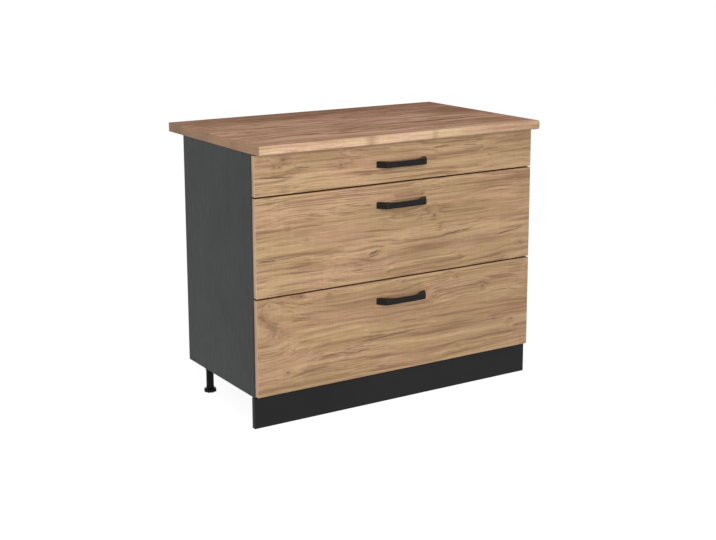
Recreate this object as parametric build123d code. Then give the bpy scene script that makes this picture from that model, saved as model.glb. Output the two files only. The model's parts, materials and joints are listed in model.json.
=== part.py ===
from build123d import *
import os
from dataclasses import dataclass
from math import cos, pi, radians, sin, sqrt

# Base cabinet with three drawers under its own worktop. Millimetres. +X is to the right of somebody
# facing the drawers, +Y is to the rear and +Z is up. The origin is the middle of the worktop's
# footprint, on the floor.

# ---------------------------------------------------------------- driving dimensions: carcass
cabinet_width = 1000.0
carcass_depth = 440.0
carcass_height = 716.0
floor_clearance = 95.0  # from the floor to the underside of the carcass
panel_thickness = 16.0
rail_width = 100.0  # front and rear top rails, laid flat
back_panel_thickness = 3.0
back_panel_inset = 10.0  # wood left behind the back panel's groove
groove_depth = 6.0
groove_play = 0.2  # on each side of a thin panel in its groove

# ---------------------------------------------------------------- worktop and plinth
worktop_depth = 600.0
worktop_thickness = 28.0
worktop_front_overhang = 55.0  # ahead of the carcass front edge
worktop_edge_radius = 7.0  # rounded front edge, top and bottom
plinth_top_gap = 2.0  # under the carcass
plinth_thickness = 16.0

# ---------------------------------------------------------------- drawer fronts
front_thickness = 16.0
front_standoff = 1.5  # bumper gap between the fronts and the carcass edge
front_gap = 4.0  # between two fronts
front_side_reveal = 2.5
front_top_reveal = 3.0
front_bottom_reveal = 4.0
top_front_height = 119.0  # the centre and bottom fronts share what is left

# ---------------------------------------------------------------- drawer boxes
box_panel_thickness = 16.0
box_tail = 1.5  # behind the slide's rear end
box_rise = 24.0  # from a front's lower edge to its box's lower edge
box_top_clearance = 8.0  # under the top rails
deep_box_height = 180.0
box_bottom_thickness = 3.0
box_groove_rise = 12.0

# ---------------------------------------------------------------- bow handles
handle_wall_span = 180.0
handle_bar_span = 140.0
handle_foot_width = 17.0
handle_projection = 32.0
handle_bar_thickness = 8.0
handle_foot_height = 18.5
handle_bar_height = 16.0
handle_outer_radius = 8.0
handle_inner_radius = 18.0
handle_drop = 62.0  # from a front's top edge to the handle's centre line
handle_inner_lean = 15.0  # how far each leg's inner edge leans in on its way to the bar
handle_hole_spacing = 160.0

# ---------------------------------------------------------------- ball-bearing slides
slide_length_step = 50.0  # slides come in steps; the longest that fits is used
slide_rear_room = 12.0
slide_height = 45.0
slide_width = 12.7
slide_setback = 2.0  # behind the carcass front edge
slide_rise = 37.0  # from a box's lower edge to the slide's centre line
channel_sheet = 1.0
cage_sheet = 0.5
ball_diameter = 4.0
running_gap = 0.3  # between a ball or a cage and what it runs in
race_lip_angle = 30.0  # where a raceway's lip ends, above the middle of its ball
race_lean_angle = 55.0  # slope of the line from an outer ball to an inner one
race_cup_angle = 60.0  # turn of the drawer channel's raceway under its ball
cage_margin = 5.0  # left between a cage and the end of its track at full travel
cage_rim = 0.5  # sheet left outside a ball pocket
pocket_gap = 0.25  # between a ball and its pocket
balls_per_row = 2
slide_screw_setback = 35.0
slide_screw_pitch = 224.0
access_window_length = 30.0
access_window_height = 14.0
rear_stop_height = 12.0
rear_stop_depth = 5.0

# ---------------------------------------------------------------- adjustable legs
leg_inset_x = 38.0
leg_inset_front = 43.0  # close behind the plinth
leg_inset_rear = 67.0
leg_plate_size = 50.0
leg_plate_thickness = 4.0
leg_plate_corner = 8.0
leg_tube_diameter = 25.0
leg_rib_thickness = 3.0
leg_rib_reach = 9.0
leg_screw_offset = 17.0
foot_diameter = 40.0  # over the corners of the lobes
foot_height = 12.0
foot_lobes = 8
foot_lobe_depth = 3.0
foot_lobe_share = 0.55  # of a lobe's turn that is at full diameter
foot_shoulder = 0.5  # between a screwed-in foot and its tube
stem_diameter = 10.0
stem_length = 50.0
stem_clearance = 0.3
stem_head_room = 5.0

# ---------------------------------------------------------------- plinth clips
clip_height = 14.0
clip_rise = 44.0
clip_wall = 4.5
clip_plate_width = 44.0
clip_plate_height = 30.0
clip_plate_thickness = 3.0
clip_wrap = 6.0  # how far the jaws pass the leg's axis
clip_peg_diameter = 8.0
clip_peg_length = 8.0

# ---------------------------------------------------------------- fasteners
small_round_sides = 6  # flats on a small round fastener and on its hole
carcass_screw_diameter = 7.0
carcass_screw_length = 50.0
carcass_screw_inset = 34.0
wood_screw_diameter = 4.0
wood_screw_head_diameter = 8.0
wood_screw_head_height = 2.2
leg_screw_length = 12.0
worktop_screw_length = 30.0
worktop_screw_x = 330.0
slide_screw_diameter = 6.0
slide_screw_length = 12.0
handle_screw_grip = 10.0  # thread inside the handle's foot
cam_diameter = 15.0
cam_depth = 12.5
cam_setback = 34.0
cam_bolt_diameter = 7.0
cam_bolt_bite = 11.0  # in the back of the front
first_fixing_rise = 55.0
fixing_pitch = 100.0

# ---------------------------------------------------------------- places worked out from the sizes
half_width = cabinet_width / 2
carcass_front = -worktop_depth / 2 + worktop_front_overhang
carcass_rear = carcass_front + carcass_depth
carcass_bottom = floor_clearance
carcass_top = carcass_bottom + carcass_height
inner_half_width = half_width - panel_thickness
floor_panel_top = carcass_bottom + panel_thickness
rail_underside = carcass_top - panel_thickness
back_panel_rear = carcass_rear - back_panel_inset
back_panel_front = back_panel_rear - back_panel_thickness
front_back_face = carcass_front - front_standoff
front_face = front_back_face - front_thickness
box_half_width = inner_half_width - slide_width
box_front = front_back_face
slide_front = carcass_front + slide_setback
slide_room = back_panel_front - slide_rear_room - slide_front
slide_length = slide_length_step * (slide_room // slide_length_step)
slide_travel = slide_length  # full extension
slide_rear = slide_front + slide_length
box_rear = slide_rear + box_tail
plinth_height = floor_clearance - plinth_top_gap
plinth_back = carcass_front + plinth_thickness
leg_half_x = half_width - leg_inset_x
leg_rows = {"front": carcass_front + leg_inset_front, "rear": carcass_rear - leg_inset_rear}
leg_sides = {"left": -leg_half_x, "right": leg_half_x}
carcass_screw_rows = (carcass_front + carcass_screw_inset, carcass_rear - carcass_screw_inset)
rail_middles = (carcass_front + rail_width / 2, back_panel_front - rail_width / 2)
slide_screw_rows = (
    slide_front + slide_screw_setback,
    slide_front + slide_screw_setback + slide_screw_pitch,
)


@dataclass(frozen=True)
class Drawer:
    """Heights of one drawer: its front, its box and the lines its slide and handle sit on."""

    name: str
    front_bottom: float
    front_top: float
    box_height: float

    @property
    def box_bottom(self):
        return self.front_bottom + box_rise

    @property
    def box_top(self):
        return self.box_bottom + self.box_height

    @property
    def slide_z(self):
        return self.box_bottom + slide_rise

    @property
    def handle_z(self):
        return self.front_top - handle_drop

    @property
    def bottom_z(self):
        return self.box_bottom + box_groove_rise

    @property
    def fixing_heights(self):
        """Heights of the cams and corner screws: as many rows as the side has room for."""
        rise = first_fixing_rise
        heights = []
        while rise < self.box_height - cam_diameter:
            heights.append(self.box_bottom + rise)
            rise += fixing_pitch
        return heights


def plan_drawers():
    """Stack the three fronts between the reveals; the two deep ones are equal."""
    bottom_low = carcass_bottom + front_bottom_reveal
    top_high = carcass_top - front_top_reveal
    top_low = top_high - top_front_height
    deep_front_height = (top_low - bottom_low - 2 * front_gap) / 2
    centre_low = bottom_low + deep_front_height + front_gap
    shallow_box_height = rail_underside - box_top_clearance - top_low - box_rise
    return (
        Drawer("top", top_low, top_high, shallow_box_height),
        Drawer("centre", centre_low, centre_low + deep_front_height, deep_box_height),
        Drawer("bottom", bottom_low, bottom_low + deep_front_height, deep_box_height),
    )


drawers = plan_drawers()


# ---------------------------------------------------------------- helpers
def block(x_low, x_high, y_low, y_high, z_low, z_high):
    """A box between two opposite corners."""
    middle = Pos((x_low + x_high) / 2, (y_low + y_high) / 2, (z_low + z_high) / 2)
    return middle * Box(x_high - x_low, y_high - y_low, z_high - z_low)


def peg(start, axis, diameter, length):
    """A small round body or hole along an axis, drawn with flats."""
    plane = Plane(origin=start, z_dir=axis)
    return extrude(plane * RegularPolygon(diameter / 2, small_round_sides), length)


def headed_screw(seat, axis, length):
    """A pan-head wood screw: its head stands on the seat, its shank runs along the axis."""
    head_start = Vector(*seat) - Vector(*axis) * wood_screw_head_height
    head = peg(head_start, axis, wood_screw_head_diameter, wood_screw_head_height)
    return head + peg(seat, axis, wood_screw_diameter, length)


def mirrored(shape):
    """The same shape on the other side of the cabinet."""
    return mirror(shape, about=Plane.YZ)


def as_group(shapes):
    """Separate solids that share a node."""
    return Compound(children=[solid for shape in shapes for solid in shape.solids()])


def left_and_right(shape):
    return as_group([shape, mirrored(shape)])


def cut_all(body, tools):
    for tool in tools:
        body = body - tool
    return body


# ---------------------------------------------------------------- carcass fasteners
def carcass_screws_left():
    """Confirmat screws through the left side panel into the floor panel and both rails."""
    floor_mid = carcass_bottom + panel_thickness / 2
    rail_mid = carcass_top - panel_thickness / 2
    places = [(y, floor_mid) for y in carcass_screw_rows] + [(y, rail_mid) for y in rail_middles]
    return [
        peg((-half_width, y, z), (1, 0, 0), carcass_screw_diameter, carcass_screw_length)
        for y, z in places
    ]


def slide_screws_left():
    """Euro screws that hold the cabinet channels to the left side panel, flush with the web."""
    head_x = -inner_half_width + channel_sheet
    return [
        peg((head_x, y, drawer.slide_z), (-1, 0, 0), slide_screw_diameter, slide_screw_length)
        for drawer in drawers
        for y in slide_screw_rows
    ]


def worktop_screws():
    """Screws up through the rails into the worktop."""
    return [
        headed_screw((side * worktop_screw_x, y, rail_underside), (0, 0, 1), worktop_screw_length)
        for side in (-1, 1)
        for y in rail_middles
    ]


def leg_screw_places(x, y):
    """Two screws on the plate's diagonal; each pair points at the cabinet's middle."""
    across = leg_screw_offset if x < 0 else -leg_screw_offset
    along = leg_screw_offset
    return [(x + across, y + along), (x - across, y - along)]


def leg_screws(x, y):
    seat_z = carcass_bottom - leg_plate_thickness
    return [
        headed_screw((sx, sy, seat_z), (0, 0, 1), leg_screw_length)
        for sx, sy in leg_screw_places(x, y)
    ]


all_leg_screws = [
    screw for x in leg_sides.values() for y in leg_rows.values() for screw in leg_screws(x, y)
]


# ---------------------------------------------------------------- carcass panels
def back_panel_groove():
    """Slot for the back panel, as wide as the cabinet and open at the top."""
    return block(
        -inner_half_width - groove_depth,
        inner_half_width + groove_depth,
        back_panel_front - groove_play,
        back_panel_rear + groove_play,
        floor_panel_top - groove_depth,
        carcass_top,
    )


def side_panel_left():
    panel = block(
        -half_width, -inner_half_width, carcass_front, carcass_rear, carcass_bottom, carcass_top
    )
    return cut_all(panel - back_panel_groove(), carcass_screws_left() + slide_screws_left())


def floor_panel():
    panel = block(
        -inner_half_width,
        inner_half_width,
        carcass_front,
        carcass_rear,
        carcass_bottom,
        floor_panel_top,
    )
    screws = carcass_screws_left()
    tools = screws + [mirrored(screw) for screw in screws] + all_leg_screws
    return cut_all(panel - back_panel_groove(), tools)


def top_rail(y_front):
    rail = block(
        -inner_half_width,
        inner_half_width,
        y_front,
        y_front + rail_width,
        rail_underside,
        carcass_top,
    )
    screws = carcass_screws_left()
    return cut_all(rail, screws + [mirrored(screw) for screw in screws] + worktop_screws())


def back_panel():
    """Thin fibreboard in the grooves of the sides and the floor."""
    reach = inner_half_width + groove_depth - groove_play
    low = floor_panel_top - groove_depth + groove_play
    return block(-reach, reach, back_panel_front, back_panel_rear, low, carcass_top)


def worktop():
    """Postformed top: its front edge is rounded above and below."""
    with BuildSketch(Plane.YZ) as profile:
        with Locations((0, carcass_top + worktop_thickness / 2)):
            Rectangle(worktop_depth, worktop_thickness)
        front_corners = profile.vertices().group_by(Axis.Y)[0]
        fillet(front_corners, worktop_edge_radius)
    slab = extrude(profile.sketch, cabinet_width / 2, both=True)
    return cut_all(slab, worktop_screws())


# ---------------------------------------------------------------- plinth, clips, legs, feet
def clip_peg(x):
    """The peg that presses a clip into the back of the plinth."""
    z = clip_rise + clip_height / 2
    return peg((x, plinth_back, z), (0, -1, 0), clip_peg_diameter, clip_peg_length)


def plinth():
    board = block(-half_width, half_width, carcass_front, plinth_back, 0, plinth_height)
    return cut_all(board, [clip_peg(x) for x in leg_sides.values()])


def plinth_clip(x):
    """Plate and peg on the plinth, with jaws that snap round a front leg."""
    leg_y = leg_rows["front"]
    bore = leg_tube_diameter / 2 + stem_clearance
    jaw_half = bore + clip_wall
    clip_top = clip_rise + clip_height
    middle = clip_rise + clip_height / 2
    plate = block(
        x - clip_plate_width / 2,
        x + clip_plate_width / 2,
        plinth_back,
        plinth_back + clip_plate_thickness,
        middle - clip_plate_height / 2,
        middle + clip_plate_height / 2,
    )
    jaws = block(x - jaw_half, x + jaw_half, plinth_back, leg_y + clip_wrap, clip_rise, clip_top)
    seat = Pos(x, leg_y, middle) * Cylinder(bore, clip_height)
    return plate + clip_peg(x) + (jaws - seat)


def leg(x, y):
    """Screwed-on plate, ribs and a tube with a bore for the foot's stem."""
    tube_bottom = foot_height + foot_shoulder
    plate_bottom = carcass_bottom - leg_plate_thickness
    bore_depth = stem_length + stem_head_room
    half = leg_plate_size / 2
    plate = block(x - half, x + half, y - half, y + half, plate_bottom, carcass_bottom)
    plate = chamfer(plate.edges().filter_by(Axis.Z), leg_plate_corner)
    tube_height = carcass_bottom - tube_bottom
    tube = Pos(x, y, tube_bottom + tube_height / 2) * Cylinder(leg_tube_diameter / 2, tube_height)
    rib_outline = Polyline(
        (0, 0),
        (leg_tube_diameter / 2 + leg_rib_reach, 0),
        (leg_tube_diameter / 2, -2 * leg_rib_reach),
        (0, -2 * leg_rib_reach),
        close=True,
    )
    rib = extrude(Plane.XZ * make_face(rib_outline), leg_rib_thickness / 2, both=True)
    ribs = [Pos(x, y, plate_bottom) * Rot(0, 0, turn) * rib for turn in (0, 90, 180, 270)]
    body = plate + tube
    for one in ribs:
        body = body + one
    bore = peg((x, y, tube_bottom), (0, 0, 1), stem_diameter + 2 * stem_clearance, bore_depth)
    return cut_all(body - bore, leg_screws(x, y))


def foot(x, y):
    """Base with grip lobes, and the threaded stem that screws into the leg."""
    lobe_turn = 2 * pi / foot_lobes
    tip, valley = foot_diameter / 2, foot_diameter / 2 - foot_lobe_depth
    outline = []
    for lobe in range(foot_lobes):
        for radius, part in ((valley, -0.5), (tip, -foot_lobe_share / 2), (tip, foot_lobe_share / 2)):
            turn = lobe_turn * (lobe + part)
            outline.append((radius * cos(turn), radius * sin(turn)))
    base = extrude(make_face(Polyline(*outline, close=True)), foot_height)
    stem = peg((0, 0, foot_height), (0, 0, 1), stem_diameter, stem_length)
    return Pos(x, y, 0) * (base + stem)


# ---------------------------------------------------------------- ball-bearing slide
# The sections lie in a plane with their first axis from the side panel towards the drawer and
# their second axis up. An outer ball runs between the cabinet channel and the middle channel, an
# inner ball between the middle channel and the drawer channel.
ball_radius = ball_diameter / 2
race_radius = ball_radius + running_gap
race_middle = race_radius + channel_sheet / 2  # of the sheet's middle line round a ball
cage_web = channel_sheet + running_gap  # near face of the outer cage's web
outer_ball = (
    cage_web + cage_sheet + pocket_gap + ball_radius,
    slide_height / 2 - channel_sheet - race_radius,
)
inner_ball = (
    outer_ball[0] + 2 * race_middle * cos(radians(race_lean_angle)),
    outer_ball[1] - 2 * race_middle * sin(radians(race_lean_angle)),
)
middle_web = cage_web + cage_sheet + running_gap  # near face of the middle channel's web
inner_cage_web = middle_web + channel_sheet + running_gap
cage_length = slide_length - slide_travel / 2 - 2 * cage_margin


def bent_sheet(upper_edges):
    """Give a middle line and its mirror image below the sheet's thickness."""
    lower_edges = [edge.mirror(Plane.XZ) for edge in upper_edges]
    return trace(Wire(lower_edges + upper_edges), line_width=channel_sheet).clean()


def cabinet_channel_section():
    """C channel: each flange ends in a lip curled over the outer ball."""
    web = channel_sheet / 2
    flange = outer_ball[1] + race_middle
    return bent_sheet(
        [
            Line((web, 0), (web, flange)),
            Line((web, flange), (outer_ball[0], flange)),
            CenterArc(outer_ball, race_middle, 90, race_lip_angle - 90),
        ]
    )


def middle_channel_section():
    """Web, then an S curve that cups the outer ball from below and the inner ball from above."""
    web = middle_web + channel_sheet / 2
    shoulder = outer_ball[1] - race_middle
    return bent_sheet(
        [
            Line((web, 0), (web, shoulder)),
            Line((web, shoulder), (outer_ball[0], shoulder)),
            CenterArc(outer_ball, race_middle, -90, 90 - race_lean_angle),
            CenterArc(
                inner_ball,
                race_middle,
                180 - race_lean_angle,
                race_lip_angle - 180 + race_lean_angle,
            ),
        ]
    )


def drawer_channel_section():
    """Web against the drawer, with flanges whose ends cup the inner ball from below."""
    web = slide_width - channel_sheet / 2
    flange = inner_ball[1] - race_middle
    return bent_sheet(
        [
            Line((web, 0), (web, flange)),
            Line((web, flange), (inner_ball[0], flange)),
            CenterArc(inner_ball, race_middle, -90, -race_cup_angle),
        ]
    )


def slide_plane(drawer):
    """The left slide's section plane at its rear end; extruding runs towards the front."""
    origin = (-inner_half_width, slide_rear, drawer.slide_z)
    return Plane(origin=origin, x_dir=(1, 0, 0), z_dir=(0, -1, 0))


def web_window(drawer, y):
    """Window through a web, to reach a fixing screw when the slide is closed."""
    return block(
        -inner_half_width + channel_sheet,
        -inner_half_width + slide_width - channel_sheet - race_middle,
        y - access_window_length / 2,
        y + access_window_length / 2,
        drawer.slide_z - access_window_height / 2,
        drawer.slide_z + access_window_height / 2,
    )


def cabinet_channel(drawer):
    """Channel on the side panel, with a tab bent up behind as the closed stop."""
    channel = extrude(slide_plane(drawer) * cabinet_channel_section(), slide_length)
    wall = -inner_half_width
    low = drawer.slide_z - rear_stop_height / 2
    high = drawer.slide_z + rear_stop_height / 2
    stop_front = slide_rear + running_gap
    stop_rear = stop_front + channel_sheet
    root = block(wall, wall + channel_sheet, slide_rear, stop_rear, low, high)
    tab = block(wall, wall + rear_stop_depth, stop_front, stop_rear, low, high)
    return cut_all(channel + root + tab, slide_screws_left())


def middle_channel(drawer):
    channel = extrude(slide_plane(drawer) * middle_channel_section(), slide_length)
    return cut_all(channel, [web_window(drawer, y) for y in slide_screw_rows])


def drawer_channel_screws(drawer):
    """Screws from the drawer channel into the left side of the box, flush with the web."""
    head_x = -box_half_width - channel_sheet
    return [
        peg((head_x, y, drawer.slide_z), (1, 0, 0), slide_screw_diameter, slide_screw_length)
        for y in slide_screw_rows
    ]


def drawer_channel(drawer):
    channel = extrude(slide_plane(drawer) * drawer_channel_section(), slide_length)
    return cut_all(channel, drawer_channel_screws(drawer))


def faceted_ball():
    """A steel ball drawn with twelve flats: what three crossed square bars have in common."""
    side = ball_radius * sqrt(2)
    bar = Rot(0, 0, 45) * Box(side, side, ball_diameter)
    return bar & (Rot(90, 0, 0) * bar) & (Rot(0, 90, 0) * bar)


def ball_cage(drawer, web_face, ball):
    """Bent strip with square pockets above and below, and a row of balls in each."""
    plane = slide_plane(drawer)
    start = slide_travel / 4 + cage_margin
    pocket = ball_radius + pocket_gap
    flange_end = ball[0] + pocket + cage_rim
    half = ball[1] + cage_sheet / 2
    outline = Pos((web_face + flange_end) / 2, 0) * Rectangle(flange_end - web_face, 2 * half)
    hollow = Pos((web_face + cage_sheet + flange_end) / 2, 0) * Rectangle(
        flange_end - web_face - cage_sheet, 2 * (half - cage_sheet)
    )
    strip = Pos(0, -start, 0) * extrude(plane * (outline - hollow), cage_length)
    pitch = cage_length / balls_per_row
    ball_shape = faceted_ball()
    balls = []
    for row in (-1, 1):
        for number in range(balls_per_row):
            along = start + (number + 0.5) * pitch
            at = plane.from_local_coords((ball[0], row * ball[1], along))
            strip = strip - Pos(at) * Box(2 * pocket, 2 * pocket, 2 * cage_sheet)
            balls.append(Pos(at) * ball_shape)
    return as_group([strip] + balls)


# ---------------------------------------------------------------- drawer box, front and handle
def bottom_groove(drawer):
    """Slot for the drawer bottom in the sides and in the back of the front."""
    return block(
        -box_half_width + box_panel_thickness - groove_depth,
        box_half_width - box_panel_thickness + groove_depth,
        box_front - groove_depth,
        box_rear,
        drawer.bottom_z - groove_play,
        drawer.bottom_z + box_bottom_thickness + groove_play,
    )


def box_corner_screws(drawer):
    """Confirmat screws through the left side into the back of the box."""
    y = box_rear - box_panel_thickness / 2
    return [
        peg((-box_half_width, y, z), (1, 0, 0), carcass_screw_diameter, carcass_screw_length)
        for z in drawer.fixing_heights
    ]


def cams(drawer):
    """Cams let into the inner face of the left side."""
    face = -box_half_width + box_panel_thickness
    return [
        peg((face, box_front + cam_setback, z), (-1, 0, 0), cam_diameter, cam_depth)
        for z in drawer.fixing_heights
    ]


def cam_bolts(drawer):
    """Bolts from the back of the front to the cams, inside the left side's front edge."""
    x = -box_half_width + box_panel_thickness / 2
    reach = cam_bolt_bite + cam_setback - cam_diameter / 2
    return [
        peg((x, box_front - cam_bolt_bite, z), (0, 1, 0), cam_bolt_diameter, reach)
        for z in drawer.fixing_heights
    ]


def box_fixings(drawer):
    left = box_corner_screws(drawer) + drawer_channel_screws(drawer)
    left += cams(drawer) + cam_bolts(drawer)
    return left


def box_side_left(drawer):
    side = block(
        -box_half_width,
        -box_half_width + box_panel_thickness,
        box_front,
        box_rear,
        drawer.box_bottom,
        drawer.box_top,
    )
    return cut_all(side - bottom_groove(drawer), box_fixings(drawer))


def box_back(drawer):
    """Back of the box, standing on the drawer bottom."""
    reach = box_half_width - box_panel_thickness
    panel = block(
        -reach,
        reach,
        box_rear - box_panel_thickness,
        box_rear,
        drawer.bottom_z + box_bottom_thickness,
        drawer.box_top,
    )
    screws = box_corner_screws(drawer)
    return cut_all(panel, screws + [mirrored(screw) for screw in screws])


def box_bottom(drawer):
    reach = box_half_width - box_panel_thickness + groove_depth - groove_play
    return block(
        -reach,
        reach,
        box_front - groove_depth + groove_play,
        box_rear,
        drawer.bottom_z,
        drawer.bottom_z + box_bottom_thickness,
    )


def handle_screws(drawer):
    """Machine screws from inside the drawer, through the front into the handle's feet."""
    length = front_thickness + handle_screw_grip
    return [
        headed_screw(
            (side * handle_hole_spacing / 2, front_back_face, drawer.handle_z), (0, -1, 0), length
        )
        for side in (-1, 1)
    ]


def drawer_front(drawer):
    half = half_width - front_side_reveal
    panel = block(
        -half, half, front_face, front_back_face, drawer.front_bottom, drawer.front_top
    )
    bolts = cam_bolts(drawer)
    tools = bolts + [mirrored(bolt) for bolt in bolts] + handle_screws(drawer)
    return cut_all(panel - bottom_groove(drawer), tools)


def handle(drawer):
    """Bow handle: a bent bar with flared feet, lower at the bar than at the feet."""
    wall, bar = handle_wall_span / 2, handle_bar_span / 2
    foot_inner = wall - handle_foot_width
    bar_inner = foot_inner - handle_inner_lean
    bar_back = handle_projection - handle_bar_thickness
    outer = FilletPolyline(
        (-wall, 0),
        (-bar, -handle_projection),
        (bar, -handle_projection),
        (wall, 0),
        radius=handle_outer_radius,
    )
    inner = FilletPolyline(
        (foot_inner, 0),
        (bar_inner, -bar_back),
        (-bar_inner, -bar_back),
        (-foot_inner, 0),
        radius=handle_inner_radius,
    )
    feet = [Line((wall, 0), (foot_inner, 0)), Line((-foot_inner, 0), (-wall, 0))]
    plan = make_face(outer.edges() + inner.edges() + feet)
    solid = extrude(plan, handle_foot_height / 2, both=True)
    profile = Polyline(
        (0, -handle_foot_height / 2),
        (0, handle_foot_height / 2),
        (-handle_projection, handle_bar_height / 2),
        (-handle_projection, -handle_bar_height / 2),
        close=True,
    )
    taper = extrude(Plane.YZ * make_face(profile), wall, both=True)
    placed = Pos(0, front_face, drawer.handle_z) * (solid & taper)
    return cut_all(placed, handle_screws(drawer))


# ---------------------------------------------------------------- the nodes
def cabinet_nodes():
    nodes = {
        "side_panel_left": side_panel_left(),
        "side_panel_right": mirrored(side_panel_left()),
        "floor_panel": floor_panel(),
        "front_top_rail": top_rail(carcass_front),
        "rear_top_rail": top_rail(back_panel_front - rail_width),
        "back_panel": back_panel(),
        "worktop": worktop(),
        "plinth": plinth(),
        "legs": as_group([leg(x, y) for x in leg_sides.values() for y in leg_rows.values()]),
        "plinth_clips": as_group([plinth_clip(x) for x in leg_sides.values()]),
        "carcass_screws": as_group(
            [s for screw in carcass_screws_left() for s in (screw, mirrored(screw))]
        ),
        "worktop_screws": as_group(worktop_screws()),
        "leg_screws": as_group(all_leg_screws),
        "slide_screws": as_group(
            [s for screw in slide_screws_left() for s in (screw, mirrored(screw))]
        ),
    }
    for row, y in leg_rows.items():
        for side, x in leg_sides.items():
            nodes[f"foot_{row}_{side}"] = foot(x, y)
    return nodes


def drawer_nodes(drawer):
    name = drawer.name
    fixings = box_fixings(drawer)
    side = box_side_left(drawer)
    return {
        f"{name}_slide_cabinet_channels": left_and_right(cabinet_channel(drawer)),
        f"{name}_slide_middle_channels": left_and_right(middle_channel(drawer)),
        f"{name}_slide_outer_cages": left_and_right(ball_cage(drawer, cage_web, outer_ball)),
        f"{name}_slide_inner_cages": left_and_right(
            ball_cage(drawer, inner_cage_web, inner_ball)
        ),
        f"{name}_slide_drawer_channels": left_and_right(drawer_channel(drawer)),
        f"{name}_drawer_front": drawer_front(drawer),
        f"{name}_drawer_handle": handle(drawer),
        f"{name}_drawer_handle_screws": as_group(handle_screws(drawer)),
        f"{name}_drawer_side_left": side,
        f"{name}_drawer_side_right": mirrored(side),
        f"{name}_drawer_back": box_back(drawer),
        f"{name}_drawer_bottom": box_bottom(drawer),
        f"{name}_drawer_fixings": as_group([s for f in fixings for s in (f, mirrored(f))]),
    }


def main():
    os.makedirs("parts", exist_ok=True)
    nodes = cabinet_nodes()
    for drawer in drawers:
        nodes.update(drawer_nodes(drawer))
    for name, shape in nodes.items():
        export_step(shape, f"parts/{name}.step")


main()
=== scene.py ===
"""Looks of a base cabinet with three drawers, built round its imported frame.

Metres. +X is to the right of somebody facing the drawers, +Y is to the rear and +Z is up.
Sizes of single pieces are written in millimetres and multiplied by MM.
"""

import json
import logging
import math
from collections.abc import Sequence
from dataclasses import dataclass, replace
from enum import Enum
from functools import cache
from typing import ClassVar

import bpy
import numpy as np
from mathutils import Matrix, Vector

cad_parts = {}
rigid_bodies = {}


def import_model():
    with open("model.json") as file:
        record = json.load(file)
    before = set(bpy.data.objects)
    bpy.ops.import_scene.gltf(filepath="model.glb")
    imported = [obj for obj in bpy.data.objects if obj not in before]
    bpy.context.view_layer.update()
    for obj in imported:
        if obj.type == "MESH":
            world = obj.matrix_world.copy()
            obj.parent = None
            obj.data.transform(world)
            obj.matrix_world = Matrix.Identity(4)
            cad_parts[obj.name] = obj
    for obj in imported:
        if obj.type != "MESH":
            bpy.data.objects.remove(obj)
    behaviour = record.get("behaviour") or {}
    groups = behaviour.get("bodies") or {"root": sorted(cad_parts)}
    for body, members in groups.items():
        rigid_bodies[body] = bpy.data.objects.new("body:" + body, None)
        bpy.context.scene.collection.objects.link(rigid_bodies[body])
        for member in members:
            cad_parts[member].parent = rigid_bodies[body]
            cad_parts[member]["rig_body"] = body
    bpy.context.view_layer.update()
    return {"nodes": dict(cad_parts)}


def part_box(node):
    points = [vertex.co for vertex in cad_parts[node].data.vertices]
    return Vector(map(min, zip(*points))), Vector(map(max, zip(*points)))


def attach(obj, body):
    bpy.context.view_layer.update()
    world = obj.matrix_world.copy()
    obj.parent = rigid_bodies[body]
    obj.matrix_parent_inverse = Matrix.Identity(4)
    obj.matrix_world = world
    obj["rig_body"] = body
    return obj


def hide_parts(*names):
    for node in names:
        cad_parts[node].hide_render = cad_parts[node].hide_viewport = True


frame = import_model()

LOG = logging.getLogger("cabinet")
MM = 0.001
DRAWERS = ("top", "centre", "bottom")
HALF_BOARD = 8.0 * MM
CHANNEL_SHEET = 1.0 * MM
CHANNEL_SCREW_ROWS = (35.0 * MM, 259.0 * MM)  # behind a channel's front end
MIX_INPUTS = (0, 6, 7)  # a Mix node's factor and its two colours
MIX_OUTPUT = 2  # its mixed colour
Colour = tuple[float, float, float]
Socket = bpy.types.NodeSocket
Value = float | Socket


# ---------------------------------------------------------------- surfaces
class Along(Enum):
    """The axis that a shape's third local axis lies on. The value is a cyclic shift of columns."""

    Z = 0
    X = 1
    Y = 2

    def turn(self, local: np.ndarray) -> np.ndarray:
        """Local rows (a, b, c) as world rows, without changing their handedness."""
        return np.roll(local, self.value, axis=1)


class Facing(Enum):
    """A direction that a face can look in, as a unit vector."""

    LEFT = (-1, 0, 0)
    RIGHT = (1, 0, 0)
    FRONT = (0, -1, 0)
    REAR = (0, 1, 0)
    DOWN = (0, 0, -1)
    UP = (0, 0, 1)


@dataclass(frozen=True)
class Coat:
    """A finish number for the faces that look in one of some directions.

    A face looks in a direction if its unit normal's part along it is over the limit.
    """

    number: int
    facings: tuple[Facing, ...]
    limit: float = 0.7


@dataclass
class Shell:
    """Closed surfaces as points, faces, point normals if known, and a finish number per face."""

    points: np.ndarray
    faces: list[list[int]]
    normals: np.ndarray | None = None
    finishes: np.ndarray | None = None

    def finish_numbers(self) -> np.ndarray:
        """The finish number of each face, 0 where none was given."""
        return np.zeros(len(self.faces), np.int32) if self.finishes is None else self.finishes

    def painted(self, *coats: Coat, other: int = 0) -> "Shell":
        """Gives each face the number of the first coat that it fits.

        A face's normal is the sum of the cross products of its neighbouring corners.

        Args:
            *coats: the coats.
            other: the number of the faces that fit none.

        Returns:
            The same shell, painted.
        """
        rows = []
        for face in self.faces:
            corners = self.points[face]
            total = np.cross(corners, np.roll(corners, -1, axis=0)).sum(axis=0)
            rows.append(total / np.linalg.norm(total))
        shares = [np.array(rows) @ np.array([f.value for f in coat.facings]).T for coat in coats]
        fits = [(share > coat.limit).any(axis=1) for share, coat in zip(shares, coats)]
        self.finishes = np.select(fits, [coat.number for coat in coats], other).astype(np.int32)
        return self


@dataclass
class Outline:
    """A closed line in a plane, anticlockwise, with its outward unit normals."""

    points: np.ndarray
    normals: np.ndarray


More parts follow.
